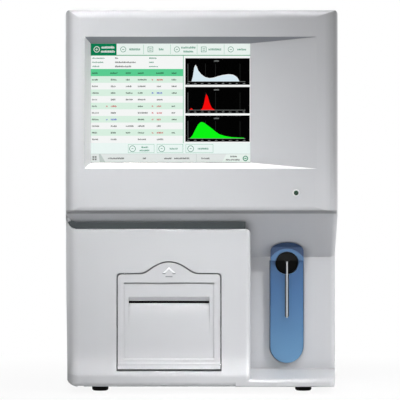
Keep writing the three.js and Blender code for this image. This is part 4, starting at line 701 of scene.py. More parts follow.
def cover_shelf(t, run):
    """The floor of the niche, which rises to the back and is round in plan at its right corner."""
    stretch = math.hypot(1, SHELF_RISE)
    centre = SHELF_Z + SHELF_RISE * SHELF_R - SHELF_R * stretch
    back = NICHE_D + t + 2
    low = GROUND - run
    toe = 0 if t else 2
    shape = [(back, low), (t + toe, low)]
    if toe:
        shape += arc(toe, low + toe, toe, 270, 180, 8)
    tilt = math.degrees(math.atan(SHELF_RISE))
    shape += arc(SHELF_R, centre, SHELF_R - t, 180, 90 + tilt, FINE)
    shape += [(back, SHELF_Z + SHELF_RISE * back - t * stretch)]
    right = HALF - 5.5 - t
    radius = NICHE_R - t
    plan = [(WALL_X, DEPTH), (WALL_X, t)]
    plan += arc(right - radius, t + radius, radius, -90, 0, FINE)
    plan += [(HALF - t, NICHE_D), (HALF - t, DEPTH)]
    return overlap(prism("x", shape, WALL_X, HALF - t), prism("z", plan, low, 40))


EDGE_Z, EDGE_R, TOE_EDGE = 216.6, 3.2, 7.0
SWEEP = [
    (-HALF, 236.0), (-179.6, 231.0), (-178.2, 226.4), (-176.0, 222.0), (-172.4, 218.4),
    (-167.0, EDGE_Z),
]


def edge_height(x):
    """Height of the panel's top edge, which sweeps up at the left end."""
    for (x0, z0), (x1, z1) in zip(SWEEP, SWEEP[1:]):
        if x < x1:
            return z0 + (z1 - z0) * max(0.0, x - x0) / (x1 - x0)
    return EDGE_Z


def panel_profile(t, run, back=0.0, top=EDGE_Z):
    """The panel's side view, its face moved back by the roundness of its left side."""
    low = GROUND - run
    toe = 2 if t else TOE_EDGE
    shape = [(t + toe, low)]
    shape += arc(t + toe, low + toe, toe, 270, 180, 12)
    shape += arc(TOE_R, TOE_Z, TOE_R - t, 180, 180 - FLARE_DEG, FINE // 2)
    shape += arc(SETBACK - FLARE_R, FLARE_Z, FLARE_R + t, -FLARE_DEG, 0, FINE)
    radius = EDGE_R - WALL if t else EDGE_R
    shape += arc(SETBACK + t + radius, top - t - radius, radius, 180, 90, 8)
    shape = [(min(d + back, PANEL_D), z) for d, z in shape]
    return [(PANEL_D + 5, low)] + shape + [(PANEL_D + 5, top - t)]


def cover_panel(t, run):
    """The lower panel, round down its left side and at its edge beside the niche."""
    side, radius = SIDE_R - t, NICHE_R - t
    stations = []
    for angle in quarter(16):
        x = SIDE_R - HALF - side * math.cos(angle)
        top = EDGE_Z if t else edge_height(x)
        stations.append((x, panel_profile(t, run, side * (1 - math.sin(angle)), top)))
    for angle in quarter(FINE):
        x = PANEL_X - NICHE_R + radius * math.sin(angle)
        deep = t + radius * (1 - math.cos(angle))
        stations.append((x, panel_profile(min(deep, NICHE_R - 0.1), run)))
    low = GROUND - run
    outline = [(PANEL_X + 5, PANEL_TOP + 20), (t - HALF, PANEL_TOP + 20)]
    outline += arc(SIDE_R - HALF, GROUND + SIDE_R, side, 180, 252 if t else 270, FINE)
    if t:
        outline += [(SIDE_R - HALF, low)]
    outline += [(PANEL_X + 5, low)]
    return overlap(loft("x", stations), prism("y", outline, -5, PANEL_D + t))


def cover_back(t, run):
    depth = (PANEL_D + t - 0.2, DEPTH + run)
    return block((t - HALF, PANEL_X - t), depth, (GROUND - run, PANEL_TOP - t))


def cover_wall(t, run):
    depth = (NICHE_D + t, DEPTH + run)
    outline = rounded((WALL_X, HALF - t), depth, (0, NICHE_R - t, 0, 0), FINE)
    return prism("z", outline, GROUND - run, NICHE_TOP + 8)


def side_wedge(t):
    """What the left side loses below the lip, where it draws in towards its foot."""
    x = t - HALF
    low = GROUND - 4
    points = [(x, -4, FACE_LOW), (x, 90, low), (x + 3.4, -4, low)]
    points += [(x - 4, -4, FACE_LOW), (x - 4, 90, low), (x - 4, -4, low)]
    return hull(points)


def fair(start, stages):
    """A curve in plan from stages of (reach, end tilt in degrees), its tilt never jumping."""
    points = [start]
    x, d = start
    tilt = 0.0
    for reach, end in stages:
        bend = reach / (math.sin(math.radians(end)) - math.sin(math.radians(tilt)))
        for step in range(1, FINE + 1):
            angle = math.radians(tilt + (end - tilt) * step / FINE)
            across = bend * (math.sin(angle) - math.sin(math.radians(tilt)))
            deep = bend * (math.cos(math.radians(tilt)) - math.cos(angle))
            points.append((x + across, d + deep))
        x, d = points[-1]
        tilt = end
    return points


def cover_plan(t, run):
    """Plan of the upper body: round on the left, a slow turn and a tighter ridge on the right."""
    back = DEPTH + run
    if t:
        radius = LEFT_R - t
        return rounded((t - HALF, HALF - t), (t, back), (radius, radius, 0, 0), FINE)
    right = fair((146.0, 0.0), [(23.0, 18.0), (0.9, 1.0), (2.8, 3.0), (1.3, 56.0), (6.5, 90.0)])
    left = arc(LEFT_R - HALF, LEFT_R, LEFT_R, 180, 270, FINE)
    return left + right + [(HALF, back), (-HALF, back)]


def cover_form(t):
    run = 2 if t else 0
    plan = prism("z", cover_plan(t, run), -5, TOP)
    body = join(cover_upper(t, run), cover_panel(t, run), cover_back(t, run))
    body = cut(overlap(body, plan), side_wedge(t))
    body = join(body, cover_wall(t, run), cover_shelf(t, run))
    head, foot = CASE_R - t, 0 if t else FOOT_R
    radii = (foot, foot, head, head)
    outline = rounded((t - HALF, HALF - t), (GROUND - run, TOP - t), radii, FINE)
    return overlap(body, prism("y", outline, -5, DEPTH + run))


# The picture's edges, the foot of the opening before it, and the recess's depth and the widths of
# its sloped rims to the left, to the right, below and above.
S_LEFT, S_RIGHT, S_LOW, S_TOP = -147.0, 64.2, 303.7, 462.1
SCREEN_LOW = S_LOW + 0.7
RECESS_D = 12.0
RIMS = (7.2, 88.8, 7.5, 8.1)


def recess(grow):
    left, right, low, top = RIMS
    outer = (S_LEFT - left - grow, S_RIGHT + right + grow, S_LOW - low - grow, S_TOP + top + grow)
    inner = (S_LEFT - grow, S_RIGHT + grow, SCREEN_LOW - grow, S_TOP + grow)
    points = []
    for (x0, x1, z0, z1), d in ((outer, -2), (outer, grow), (inner, RECESS_D + grow)):
        points += [(x0, d, z0), (x1, d, z0), (x0, d, z1), (x1, d, z1)]
    return hull(points)


DOOR_X, DOOR_HALF, DOOR_LOW, HINGE_Z = -43.35, 68.35, 31.6, 36.5
DOOR_PLACE = (DOOR_X, 0, 0)


def door_outline(grow, low):
    """Front view of the door: square shoulders and a domed crown."""
    half, shoulder, crown, crown_half = DOOR_HALF + grow, 157.3 + grow, 173.0 + grow, 38.6 + grow
    points = [(-half, low), (half, low)]
    points += arc(half - 5, shoulder - 5, 5, 0, 90, 12)
    bends = (crown_half * 0.7, shoulder), (crown_half * 0.5, crown)
    side = bezier((crown_half, shoulder), *bends, (0, crown), 28)
    points += side + [(-x, z) for x, z in reversed(side)]
    points += arc(5 - half, shoulder - 5, 5, 90, 180, 12)
    return points


KEY_X, KEY_R, KEY_LOW, HOOD_LOW = 114.8, 22.2, 35.3, 173.5
KEY_TOP, KEY_FRONT = HOOD_LOW - 0.3, 70.5
MOUTH_R, MOUTH_Z = 15.5, 170.0
PROBE_D, PROBE_BORE = 66.5, 3.6
LAMP_X, LAMP_Z = 124.4, 264.4
KEY_PLACE = (KEY_X, 0, 0)
PROBE_PLACE = (KEY_X, PROBE_D, 0)


def key_outline(grow):
    points = [(KEY_R + grow, KEY_TOP + grow), (-KEY_R - grow, KEY_TOP + grow)]
    return points + arc(0, KEY_LOW + KEY_R, KEY_R + grow, 180, 360, 48)


def gap_outline():
    """Front view of the gap over the panel, dark with a strip of painted shadow, with its end that
    sweeps up on the left.
    """
    right, top = PANEL_X - 6.5, 225.8
    upper = [(right, top), (-166.9, top), (-172.4, 227.4), (-176.4, 231.0), (-179.0, 236.0)]
    return upper + [(-181.0, 243.0), (-181.0, 239.0), *SWEEP[1:], (right, EDGE_Z)]


def gap_painted_shadow():
    """A dark strip of painted shadow at the bottom of the gap between the lip's slope and the
    panel.
    """
    left, front, back = 1.2 - HALF, 21.5, 27.0
    plan = [(PANEL_X, front), (PANEL_X, back), (left, back), (left, 26.0), (left + 3.0, 22.6)]
    plan += [(9.0 - HALF, front)]
    form = overlap(prism("y", gap_outline(), 18, 30), prism("z", plan, 200, 260))
    mount(form, "panel_gap_painted_shadow", ORIGIN, PAINTED_DARK, "casing")


def paint_recess_light_and_shade(piece):
    """Painted light on the sloped rims round the screen: a painted highlight below and on the left,
    painted shade above.
    """
    for material in (RIM_LOW_PAINTED_HIGHLIGHT, RIM_TOP_PAINTED_SHADE, RIM_LEFT_PAINTED_HIGHLIGHT):
        piece.data.materials.append(material)
    for face in piece.data.polygons:
        x, y, z = face.center / MM
        near = S_LEFT - 8 < x < S_RIGHT + 89 and S_LOW - 8 < z < S_TOP + 9
        if not (near and 0.0 < y - FRONT_Y < RECESS_D):
            continue
        if face.normal.z > 0.5:
            face.material_index = 1
        elif face.normal.z < -0.5:
            face.material_index = 2
        elif face.normal.x > 0.4:
            face.material_index = 3


def front_cover():
    form = cut(
        cover_form(0),
        cut(cover_form(WALL), recess(WALL)),
        recess(0),
        prism("y", gap_outline(), -5, 22),
        block((S_LEFT, S_RIGHT), (0, 30), (SCREEN_LOW, S_TOP)),
        prism("y", moved(door_outline(1.0, 28.9), DOOR_X), -3, 16.4),
        prism("y", moved(key_outline(0.8), KEY_X), 62, 93),
        rod("y", 5.1, (LAMP_X, LAMP_Z), -2, 0.9, 64),
        rod("y", MOUTH_R, (KEY_X, MOUTH_Z), 62, 93),
        rod("z", PROBE_BORE, (KEY_X, PROBE_D), HOOD_LOW, 196),
        rod("y", 3.3, (LAMP_X, LAMP_Z), -2, 5.5, 32),
    )
    paint_recess_light_and_shade(mount(form, "front_cover_shell", ORIGIN,
                        SHELL_PAINTED_SHADE, "casing", "front_cover", (7.0,)))
    gap_painted_shadow()


def door_face(offset, low, high):
    """The panel's face line between two heights, moved back by an offset."""
    heights = [low + (high - low) * step / 40 for step in range(41)]
    return [(face_d(z) + offset, z) for z in heights]


def printer_door():
    """The curved door with its hinge barrel, its raised field and the scooped grip."""
    hinge = (face_d(HINGE_Z) + 7, HINGE_Z)
    skin = door_face(0, DOOR_LOW, 176) + door_face(3, DOOR_LOW, 176)[::-1]
    barrel = rod("x", 7, hinge, -DOOR_HALF, DOOR_HALF, 64)
    form = join(prism("x", skin, -DOOR_HALF, DOOR_HALF), barrel)
    form = overlap(form, prism("y", door_outline(-0.6, 29.5), -5, 40))
    form = join(form, block((-56.4, 56.4), (SETBACK + 1.2, SETBACK + 8), (79, 131.5)))
    for x in (-56.8, 56.8):
        form = join(form, block((x - 1, x + 1), (SETBACK + 2.7, 28.8), (110.5, 124.5)))
    field = prism("x", door_face(0.8, 45, 144.3) + [(-5, 144.3), (-5, 45)], -59.4, 59.4)
    groove = block((-59.4, 59.4), (-5, SETBACK + 2.7), (143.8, 145.8))
    front, back = SETBACK - 3, SETBACK + 5
    scoop = [(front, 130), (SETBACK, 128), (back, 121.4), (back, 118)]
    bends = (back - 3.6, 111), (SETBACK + 0.9, 99)
    scoop += bezier(scoop[-1], *bends, (SETBACK + 0.8, 73), 24)[1:] + [(front, 73)]
    form = cut(
        form, field, groove, prism("x", scoop, -53.4, 53.4),
        block((-53.4, 53.4), (SETBACK, back + 8), (118.2, 121.4)),
        rod("x", 1.8, hinge, -80, 80, 24),
        rod("x", 2.3, (23.84, 117.5), -80, 80, 24),
    )
    mount(form, "printer_door_shell", DOOR_PLACE,
          SILVER, "door", "printer_door", (12.0,))
    door_arrow()


def door_arrow():
    """The raised release mark on the door's crown: an arrow's head over three short bars."""
    half, thick = 8.5, 3.2
    apex, wing, foot = 166.6, 158.6, 153.0
    depth = (SETBACK - 0.5, SETBACK + 1)
    outline = [(-half, wing), (0, apex), (half, wing), (half - thick, wing), (0, apex - thick)]
    head = prism("y", outline + [(thick - half, wing)], SETBACK - 0.7, SETBACK + 1)
    # The head's white is a painted highlight and the bars' grey is painted shade.
    marks = [
        ("door_arrow_head", head, PAINTED_HIGHLIGHT_WHITE),
        ("door_arrow_foot", block((-4.6, 4.6), depth, (foot, foot + 1.4)), GREY),
        ("door_arrow_left", block((-8.6, -4.6), depth, (157.0, 158.3)), GREY),
        ("door_arrow_right", block((4.6, 8.6), depth, (157.0, 158.3)), GREY),
    ]
    for name, form, finish in marks:
        mount(form, name, DOOR_PLACE,
              finish, "door", rounding=(30.0, 0.25, 2))


def mouth(grow=0.0):
    """The round opening through the hood, the key and the ring."""
    return rod("y", MOUTH_R + grow, (0, MOUTH_Z), 0, 120, 96)


def probe_hood():
    """The hood over the probe and the paler ring on its face, a copy of the hood's blue lightened
    as painted light.
    """
    top, arch_r = 198.0, 11.5
    front, back = 62, 79.7
    crown = LIP + (LIP_LOW - 1.5 * STRETCH - top) / RISE
    side = [
        (front, HOOD_LOW), (front, slope_z(front, -1.5)), (crown, top),
        (crown + 1.2, slope_z(crown + 1.2, -0.3)), (back, slope_z(back, -0.3)), (back, HOOD_LOW),
    ]
    arch = [(-KEY_R, HOOD_LOW), (KEY_R, HOOD_LOW)]
    for step in range(49):
        angle = math.pi * step / 48
        arch.append((KEY_R * math.cos(angle), top - arch_r + arch_r * math.sin(angle)))
    form = overlap(prism("x", side, -KEY_R, KEY_R), prism("y", arch, 0, 80))
    form = cut(form, mouth(), rod("z", PROBE_BORE, (0, PROBE_D), HOOD_LOW, 220))
    mount(form, "probe_hood_shell", KEY_PLACE,
          NAVY, "casing", "probe_hood", (30.0, 0.9, 4, 24.0))
    form = overlap(rod("y", 26.0, (0, 163.5), 61.0, 63.0, 192), prism("y", arch, 0, 80))
    mount(cut(form, mouth(0.1)), "probe_hood_ring", KEY_PLACE,
          PAINTED_LIGHT_BLUE, "casing", rounding=(30.0, 0.7, 3))


def start_key():
    """The hollow key with its flange, its rim round the mouth, its crown and its groove."""
    crown_r = 100.0
    slot_half, slot_low, slot_d = 2.8, 99.2, 71.4
    flange = prism("y", key_outline(2.5), 83.3, 85.8)
    flange = cut(flange, block((-40, 40), (83, 88), (KEY_TOP, 300)))
    form = join(prism("y", key_outline(0), KEY_FRONT, 83.6), flange)
    form = cut(form, prism("y", key_outline(-2.5), 75.5, 90))
    rim = rod("y", MOUTH_R + 2.5, (0, MOUTH_Z), KEY_FRONT, 85.8, 96)
    rim = overlap(rim, prism("y", key_outline(-0.2), KEY_FRONT, 86))
    form = join(form, rim, rod("y", 6.5, (0, 104.4), 73.2, 83.3, 32))
    form = cut(form, mouth())
    form = overlap(form, rod("z", crown_r, (0, KEY_FRONT + crown_r), 0, 300, 256))
    slot = [(slot_half, MOUTH_Z - 10), (-slot_half, MOUTH_Z - 10)]
    slot += arc(0, slot_low, slot_half, 180, 360, 16)
    form = cut(form, prism("y", slot, 69, slot_d))
    # The groove's dark lining is painted darkness on either side of the probe, standing for its
    # dark edges.
    lining = block((-3, 3), (70, 80), (90, MOUTH_Z - MOUTH_R + 0.2))
    lining = overlap(prism("y", slot, slot_d - 0.1, 72.1), lining)
    mount(lining, "start_key_groove_painted_dark", KEY_PLACE, PAINTED_DARK, "key")
    mount(form, "start_key_shell", KEY_PLACE,
          BLUE, "key", "start_key", (30.0, 1.8, 6, 30.0))


def key_spring():
    """The key's return spring, a steel copy of its CAD node."""
    piece = linked("start_key_coil", NODES["start_key_spring"].data.copy())
    paint(piece, STEEL)
    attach(piece, "casing")
    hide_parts("start_key_spring")
    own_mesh(piece)


def wiper_and_probe():
    """The wiper block with its nozzle, and the probe's tapered tube."""
    body = rod("y", 15, (0, MOUTH_Z), 64, 91.7, 96)
    body = cut(body, block((-40, 40), (0, 89.7), (0, HOOD_LOW)))
    form = join(body, rod("y", 19, (0, MOUTH_Z), 89.7, 91.7, 96))
    form = cut(form, rod("z", 1.8, (0, PROBE_D), 0, 300, 32))
    mount(form, "wiper_block_shell", KEY_PLACE,
          BLACK, "casing", "wiper_block", (30.0, 0.4, 3))
    nozzle = lathe([(0, 172.2), (2.6, 172.2), (3.3, 172.9), (3.3, 173.4), (0, 173.4)], 40)
    nozzle = cut(nozzle, rod("z", 1.5, (0, 0), 100, 300, 32))
    mount(nozzle, "wiper_nozzle", PROBE_PLACE, BLACK, "casing")
    tube = lathe([(0, 96), (0.5, 96), (0.75, 96.3), (1.3, 102), (1.3, 232), (0, 232)], 32)
    mount(tube, "sample_probe_tube", PROBE_PLACE,
          STEEL, "probe", "sample_probe")


def indicator():
    """The lamp's ring, pale with a painted highlight, and its lens, which swells a little out of
    the cover.
    """
    ring = lathe([(3.2, 0.35), (4.6, 0.0), (4.9, -0.4), (3.2, -0.4), (3.2, 0.35)], 48)
    mount(to_front(ring), "lamp_ring", (LAMP_X, 0.4, LAMP_Z),
          LAMP_RING_PAINTED_HIGHLIGHT, "casing", rounding=(40.0,))
    swell = 0.9
    dome = [(0, -11), (3, -11), (5.5, -4.1), (5.5, -3.3), (3.0, -3.3), (3.0, 0.0)]
    turns = [math.radians(10 * step) for step in range(1, 9)]
    dome += [(3.0 * math.cos(a), swell * math.sin(a)) for a in turns] + [(0, swell)]
    mount(to_front(lathe(dome, 40)), "indicator_lens", (LAMP_X, 0.92, LAMP_Z),
          LENS, "casing", "indicator_lamp", (40.0,))


def feet():
    """The feet with their moulded soles."""
    for name in ("foot_front_left", "foot_front_right", "foot_rear_left", "foot_rear_right"):
        low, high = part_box(name)
        x, y = (low.x + high.x) / 2 / MM, (low.y + high.y) / 2 / MM
        turns = [math.radians(15 * step) for step in range(1, 7)]
        profile = [(0, 0.6), (5.2, 0.6), (5.6, 0.0), (8, 0)]
        profile += [(8 + 3 * math.sin(a), 3 - 3 * math.cos(a)) for a in turns]
        profile += [(11, 8.2), (2.5, 8.2), (2.5, 14.2), (0, 14.2)]
        mount(lathe(profile, 56), name + "_moulding", (x, y - FRONT_Y, 0),
              RUBBER, "casing", name, (35.0,))


front_cover()
printer_door()
key_spring()
probe_hood()
start_key()
wiper_and_probe()
indicator()

# The lit picture on the display is drawn in pixels of the photograph's own layout.

PAGE_X, PAGE_Y, PAGE_W, PAGE_H = 172, 245, 891, 660
PICTURE_W, PICTURE_H = 211.2, 157.0
PICTURE_D, LAYER_D = 15.22, 0.02
PALETTE = {
    "white": (250, 252, 251), "leaf": (11, 125, 80), "tab": (238, 248, 243),
    "line": (150, 205, 178), "rule": (60, 160, 110), "mint": (91, 209, 148),
    "row": (222, 245, 230), "ink": (38, 46, 42),
    "teal": (40, 140, 108), "pale": (240, 252, 249), "status": (230, 236, 234),
    "status_dark": (196, 207, 203), "black": (0, 0, 0), "grey": (130, 134, 132),
    "dim": (46, 48, 47), "ice": (222, 240, 248), "red": (250, 10, 10), "green": (10, 250, 20),
    "alert": (205, 40, 58), "blue": (40, 44, 200),
}


class Picture:
    """Flat shapes in a layout 891 wide and 660 high, drawn 211.2 by 157.0 mm on the display."""

    def __init__(self):
        self.verts, self.faces, self.kinds = [], [], []
        self.random = random.Random(7)

    def shape(self, points, colour, layer):
        start = len(self.verts)
        for px, py in points:
            x = S_LEFT + (px - PAGE_X) / PAGE_W * PICTURE_W
            z = S_TOP - (py - PAGE_Y) / PAGE_H * PICTURE_H
            self.verts.append((x, PICTURE_D - LAYER_D * layer, z))
        self.faces.append(tuple(range(start, start + len(points))))
        self.kinds.append(colour)

    def box(self, x0, y0, x1, y1, colour, layer=1):
        self.shape([(x0, y0), (x1, y0), (x1, y1), (x0, y1)], colour, layer)

    def frame(self, x0, y0, x1, y1, colour, width, layer):
        self.box(x0, y0, x1, y0 + width, colour, layer)
        self.box(x0, y1 - width, x1, y1, colour, layer)
        self.box(x0, y0, x0 + width, y1, colour, layer)
        self.box(x1 - width, y0, x1, y1, colour, layer)

    def marks(self, x0, x1, y, colour, height=8, layer=3):
        """Short strokes that stand where a caption would, without spelling anything."""
        x = x0
        while x < x1 - 1.5:
            stroke = self.random.uniform(2.0, 3.4)
            tall = height * self.random.uniform(0.72, 1.12)
            foot = y + height / 2
            self.box(x, foot - tall, min(x + stroke, x1), foot, colour, layer)
            if self.random.random() < 0.55:
                low = y + self.random.choice((-0.36, 0.0, 0.36)) * height
                self.box(x, low - 0.8, min(x + stroke + 3.2, x1), low + 0.8, colour, layer)
            x += stroke + self.random.uniform(1.4, 2.8)

    def ring(self, cx, cy, radius, colour, width=2.4, sides=20, layer=3):
        def corner(r, angle):
            return cx + r * math.cos(angle), cy + r * math.sin(angle)

        inner = radius - width
        for k in range(sides):
            a, b = 2 * math.pi * k / sides, 2 * math.pi * (k + 1) / sides
            corners = [corner(radius, a), corner(radius, b), corner(inner, b), corner(inner, a)]
            self.shape(corners, colour, layer)

    def build(self):
        mesh = bpy.data.meshes.new("display_picture")
        mesh.from_pydata(self.verts, [], self.faces)
        bm = bmesh.new()
        bm.from_mesh(mesh)
        for face in bm.faces:
            if face.normal.y > 0:
                face.normal_flip()
        bm.to_mesh(mesh)
        bm.free()
        names = sorted(set(self.kinds))
        for name in names:
            mesh.materials.append(glow("display_" + name, PALETTE[name]))
        mesh.polygons.foreach_set("material_index", [names.index(kind) for kind in self.kinds])
        return linked("display_picture", mesh)


def draw_header(p):
    p.box(172, 245, 1063, 308, "tab")
    p.box(172, 245, 316, 308, "leaf", 2)
    p.ring(205, 277, 17, "white", 3)
    p.box(204, 269, 206, 285, "white", 3)
    p.box(197, 276, 213, 278, "white", 3)
    p.marks(232, 303, 266, "white", 12)
    p.marks(229, 307, 289, "white", 12)
    for x in (467, 617, 766, 917):
        p.box(x - 1, 250, x + 1, 304, "line", 2)
    p.box(172, 308, 1063, 312, "rule", 2)
    for index, cx in enumerate((353, 505, 653, 803, 954)):
        if index in (1, 3):
            p.frame(cx - 15, 262, cx + 15, 292, "teal", 2.6, 3)
            p.box(cx - 7, 272, cx + 7, 275, "teal", 3)
            p.box(cx - 7, 280, cx + 7, 283, "teal", 3)
        else:
            p.ring(cx, 277, 16, "teal", 2.6)
            p.box(cx - 6, 276, cx + 6, 279, "teal", 3)
    for x0, x1 in ((387, 450), (552, 580), (830, 902), (991, 1042)):
        p.marks(x0, x1, 277, "teal", 11)
    p.marks(678, 757, 267, "teal", 10)
    p.marks(690, 744, 289, "teal", 10)


ROW_TOP, ROW_PITCH = 426, 36.9
LEFT_TONES = ["ink"] * 4 + ["alert", "ink", "blue", "ink", "ink", "ink"]
RIGHT_TONES = ["alert", "ink", "blue", "ink", "alert", "alert", "alert", "ink", "alert", "ink"]


def draw_table(p):
    p.box(172, 312, 689, 386, "white")
    for y, left, right in ((326, 250, 540), (349, 243, 525), (372, 222, 548)):
        p.marks(180, left, y, "teal", 7)
        p.marks(498, right, y, "teal", 7)
    for x1, y, height in ((325, 326, 7), (423, 349, 8), (398, 372, 9)):
        p.marks(308, x1, y, "ink", height)
    p.box(172, 386, 687, ROW_TOP, "mint", 2)
    for x0, x1 in ((180, 210), (281, 323), (368, 397), (435, 467), (538, 581), (624, 653)):
        p.marks(x0, x1, 409, "ink", 8)
    for row, (left, right) in enumerate(zip(LEFT_TONES, RIGHT_TONES)):
        top = ROW_TOP + ROW_PITCH * row
        middle = top + 20
        p.box(172, top, 687, top + ROW_PITCH, "row" if row % 2 == 0 else "white")
        p.marks(179, 200 + p.random.uniform(6, 22), middle, "ink", 8)
        p.marks(284, 302 + p.random.uniform(6, 18), middle, left, 9)
        if left != "ink":
            p.marks(257, 266, middle, left, 8)
        if row not in (4, 5, 6, 9):
            p.marks(368, 390 + p.random.uniform(0, 22), middle, "ink", 8)
        p.marks(435, 455 + p.random.uniform(6, 36), middle, "ink", 8)
        if right != "ink":
            p.marks(513, 523, middle, right, 8)
        p.marks(541, 556 + p.random.uniform(6, 22), middle, right, 9)
        if row not in (3, 7, 9):
            p.marks(624, 636 + p.random.uniform(2, 20), middle, "ink", 8)
    p.box(687, 312, 1063, 800, "white")
    p.box(687, 312, 691, 858, "line", 2)


def draw_plot(p, top, bottom, curve, colour, rim=None):
    """One plot: its ground, axes and ticks, and the filled curve, given as height over the base."""
    p.box(700, top, 1060, bottom, "black", 3)
    p.marks(860, 888, top + 16, "grey", 7, 4)
    base = bottom - 19
    p.box(714, top + 30, 715.5, base, "grey", 4)
    p.box(714, base, 1036, base + 2, "grey", 4)
    for k in range(9):
        x = 716 + k * 39
        p.box(x, base + 2, x + 1.6, base + 5, "grey", 4)
        p.marks(x - 6, x + 7, base + 12, "grey", 5, 4)
    for x in (812, 868, 1005):
        p.box(x, top + 30, x + 1.6, base, "dim", 4)
    if rim:
        p.shape([(x, base - y * 1.03 - 1.5) for x, y in curve], rim, 5)
    p.shape([(x, base - y) for x, y in curve], colour, 6)


FIRST_CURVE = [
    (735, 0), (742, 24), (750, 74), (757, 88), (765, 76), (773, 56), (790, 36), (810, 22),
    (835, 16), (860, 19), (885, 27), (910, 33), (940, 37), (965, 35), (980, 28), (992, 18),
    (1002, 0),
]
SECOND_CURVE = [
    (786, 0), (796, 10), (804, 34), (811, 68), (818, 90), (826, 74), (836, 38), (848, 12), (866, 0),
]
THIRD_CURVE = [
    (725, 0), (740, 16), (755, 46), (770, 74), (783, 88), (793, 91), (806, 86), (825, 72),
    (850, 53), (870, 36), (890, 23), (920, 13), (960, 6), (1028, 3), (1028, 0),
]


def draw_plots(p):
    draw_plot(p, 326, 474, FIRST_CURVE, "ice", "white")
    draw_plot(p, 486, 633, SECOND_CURVE, "red")
    p.shape([(724, 612), (733, 604), (744, 612)], "red", 6)
    draw_plot(p, 645, 791, THIRD_CURVE, "green")


def draw_footer(p):
    p.box(172, 798, 1063, 858, "pale", 2)
    for x0, x1, cx in ((380, 527, 405), (541, 687, 568), (702, 856, 730)):
        p.frame(x0, 805, x1, 853, "line", 2, 3)
        p.ring(cx, 830, 18, "teal", 3)
        p.box(cx - 5, 828, cx + 5, 831, "teal", 3)
    for x0, x1, y in ((455, 492, 822), (445, 499, 840), (613, 657, 830), (770, 832, 830)):
        p.marks(x0, x1, y, "teal", 9)
    p.box(172, 858, 1063, 905, "status", 2)
    p.box(172, 858, 1063, 860, "status_dark", 3)
    p.shape([(216, 860), (226, 860), (254, 905), (222, 905)], "status_dark", 3)
    p.shape([(930, 860), (1063, 860), (1063, 905), (905, 905)], "tab", 3)
    for dx in (0, 13):
        for dy in (0, 13):
            p.box(181 + dx, 871 + dy, 191 + dx, 881 + dy, "grey", 3)
    for x0, x1 in ((268, 357), (463, 479), (582, 622), (638, 725), (790, 836)):
        p.marks(x0, x1, 884, "ink", 9)
    p.box(762, 862, 764, 903, "status_dark", 3)
    p.marks(951, 990, 874, "ink", 8, 4)
    p.marks(927, 1004, 892, "ink", 8, 4)
    p.ring(1036, 884, 15, "teal", 5, 16, 4)
    p.box(1030, 881, 1042, 887, "rule", 5)


def display_picture():
    p = Picture()
    p.box(172, 245, 1063, 905, "white", 0)
    draw_header(p)
    draw_table(p)
    draw_plots(p)
    draw_footer(p)
    piece = settle(p.build(), "display_picture", ORIGIN)
    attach(piece, "casing")


display_picture()
feet()

# The camera stands 3 m before the front plane and sees VIEW_W mm of it. Floor and light follow.

SENSOR_W, VIEW_FAR, VIEW_W = 36.0, 3000.0, 527.2


def camera():
    data = bpy.data.cameras.new("camera")
    data.sensor_width = SENSOR_W
    data.lens = SENSOR_W * VIEW_FAR / VIEW_W
    data.clip_end = 30.0
    obj = linked("camera", data)
    obj.location = (-0.00237, -3.215, 0.255)
    obj.rotation_euler = (math.radians(90), 0, 0)
    bpy.context.scene.camera = obj


def bare_tree(owner, output):
    """The owner's node tree with nothing in it but an output."""
    owner.use_nodes = True
    tree = owner.node_tree
    tree.nodes.clear()
    return tree, add(tree, output)


def seen_ray(tree):
    """1 for rays of the camera, of mirrors and through glass, 0 for the others."""
    rays = add(tree, "ShaderNodeLightPath").outputs
    direct = math_of(tree, "MAXIMUM", rays["Is Camera Ray"], rays["Is Glossy Ray"])
    return math_of(tree, "MAXIMUM", direct, rays["Is Transmission Ray"])


def mixed(tree, share, first, second):
    mix = add(tree, "ShaderNodeMixShader")
    tree.links.new(share, mix.inputs[0])
    tree.links.new(first, mix.inputs[1])
    tree.links.new(second, mix.inputs[2])
    return mix.outputs[0]


def matt(tree, level):
    return add(tree, "ShaderNodeBsdfDiffuse", {"Color": (level, level, level, 1)}).outputs[0]


FLOOR_HALF = 14.0
FADE_START, FADE_END = 0.2, 0.62  # metres from the middle, where the floor turns white


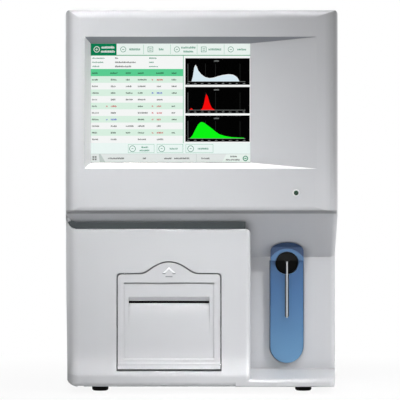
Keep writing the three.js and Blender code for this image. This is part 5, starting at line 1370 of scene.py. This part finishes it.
def floor():
    """A pale floor that keeps the contact shadow and turns white further out."""
    mesh = bpy.data.meshes.new("floor")
    corners = [(-1, -1), (1, -1), (1, 1), (-1, 1)]
    mesh.from_pydata([(x * FLOOR_HALF, y * FLOOR_HALF, 0) for x, y in corners], [], [(0, 1, 2, 3)])
    obj = linked("floor", mesh)
    material = bpy.data.materials.new("pale_floor")
    tree, output = bare_tree(material, "ShaderNodeOutputMaterial")
    white = add(tree, "ShaderNodeEmission", {"Strength": 1.0})
    place = add(tree, "ShaderNodeTexCoord")
    length = add(tree, "ShaderNodeVectorMath", operation="LENGTH")
    tree.links.new(place.outputs["Object"], length.inputs[0])
    share = spread(tree, length.outputs["Value"], 0.9, 1.0, FADE_START, FADE_END,
                   interpolation_type="SMOOTHSTEP")
    shown = mixed(tree, share, matt(tree, 0.9), white.outputs[0])
    tree.links.new(mixed(tree, seen_ray(tree), matt(tree, 0.85), shown), output.inputs["Surface"])
    obj.data.materials.append(material)


def lamp(name, azimuth, elevation, distance, size, power, target=(0, -0.1, 0.27), beam=180):
    """A soft box. The azimuth is counted from straight ahead to the right, the beam in degrees."""
    data = bpy.data.lights.new(name, "AREA")
    data.shape = "RECTANGLE"
    data.size, data.size_y = size
    data.energy = power
    data.spread = math.radians(beam)
    obj = linked(name, data)
    turn, rise = math.radians(azimuth), math.radians(elevation)
    flat = math.cos(rise)
    away = Vector((math.sin(turn) * flat, -math.cos(turn) * flat, math.sin(rise)))
    obj.location = Vector(target) + away * distance
    obj.rotation_euler = (-away).to_track_quat("-Z", "Y").to_euler()
    obj.visible_camera = False


def world():
    """White as a background, and for the light on the object brighter above than below."""
    scene_world = bpy.data.worlds.new("studio")
    bpy.context.scene.world = scene_world
    tree, output = bare_tree(scene_world, "ShaderNodeOutputWorld")
    seen = add(tree, "ShaderNodeBackground", {"Color": (1, 1, 1, 1), "Strength": 1.0})
    dim = add(tree, "ShaderNodeBackground")
    parts = place_parts(tree, add(tree, "ShaderNodeTexCoord").outputs["Generated"])
    tree.links.new(spread(tree, parts["Z"], 0.02, 0.08, -0.3, 1.0), dim.inputs["Strength"])
    shown = mixed(tree, seen_ray(tree), dim.outputs[0], seen.outputs[0])
    tree.links.new(shown, output.inputs["Surface"])


camera()
floor()
world()
lamp("key", 54, 30, 3.0, (0.35, 0.35), 0.54, (0.13, -0.15, 0.02), 15)
lamp("front", -20, 32, 2.2, (0.4, 0.4), 0.55, (-0.14, -0.2, 0.39), 15)
lamp("foot", 12, 62, 2.5, (0.3, 0.3), 0.11, (0.03, -0.22, 0.0), 10)
lamp("over", 0, 80, 2.0, (1.2, 0.8), 18.5)
lamp("table", 0, -90, 0.5, (1.2, 0.8), 1.0, (0, -0.75, 0.505))
lamp("rear_left", -155, 25, 2.5, (1.0, 1.0), 13.0)
lamp("rear_right", 155, 25, 2.5, (1.0, 1.0), 13.0)
bpy.context.scene.view_settings.view_transform = "Standard"

bpy.context.view_layer.update()
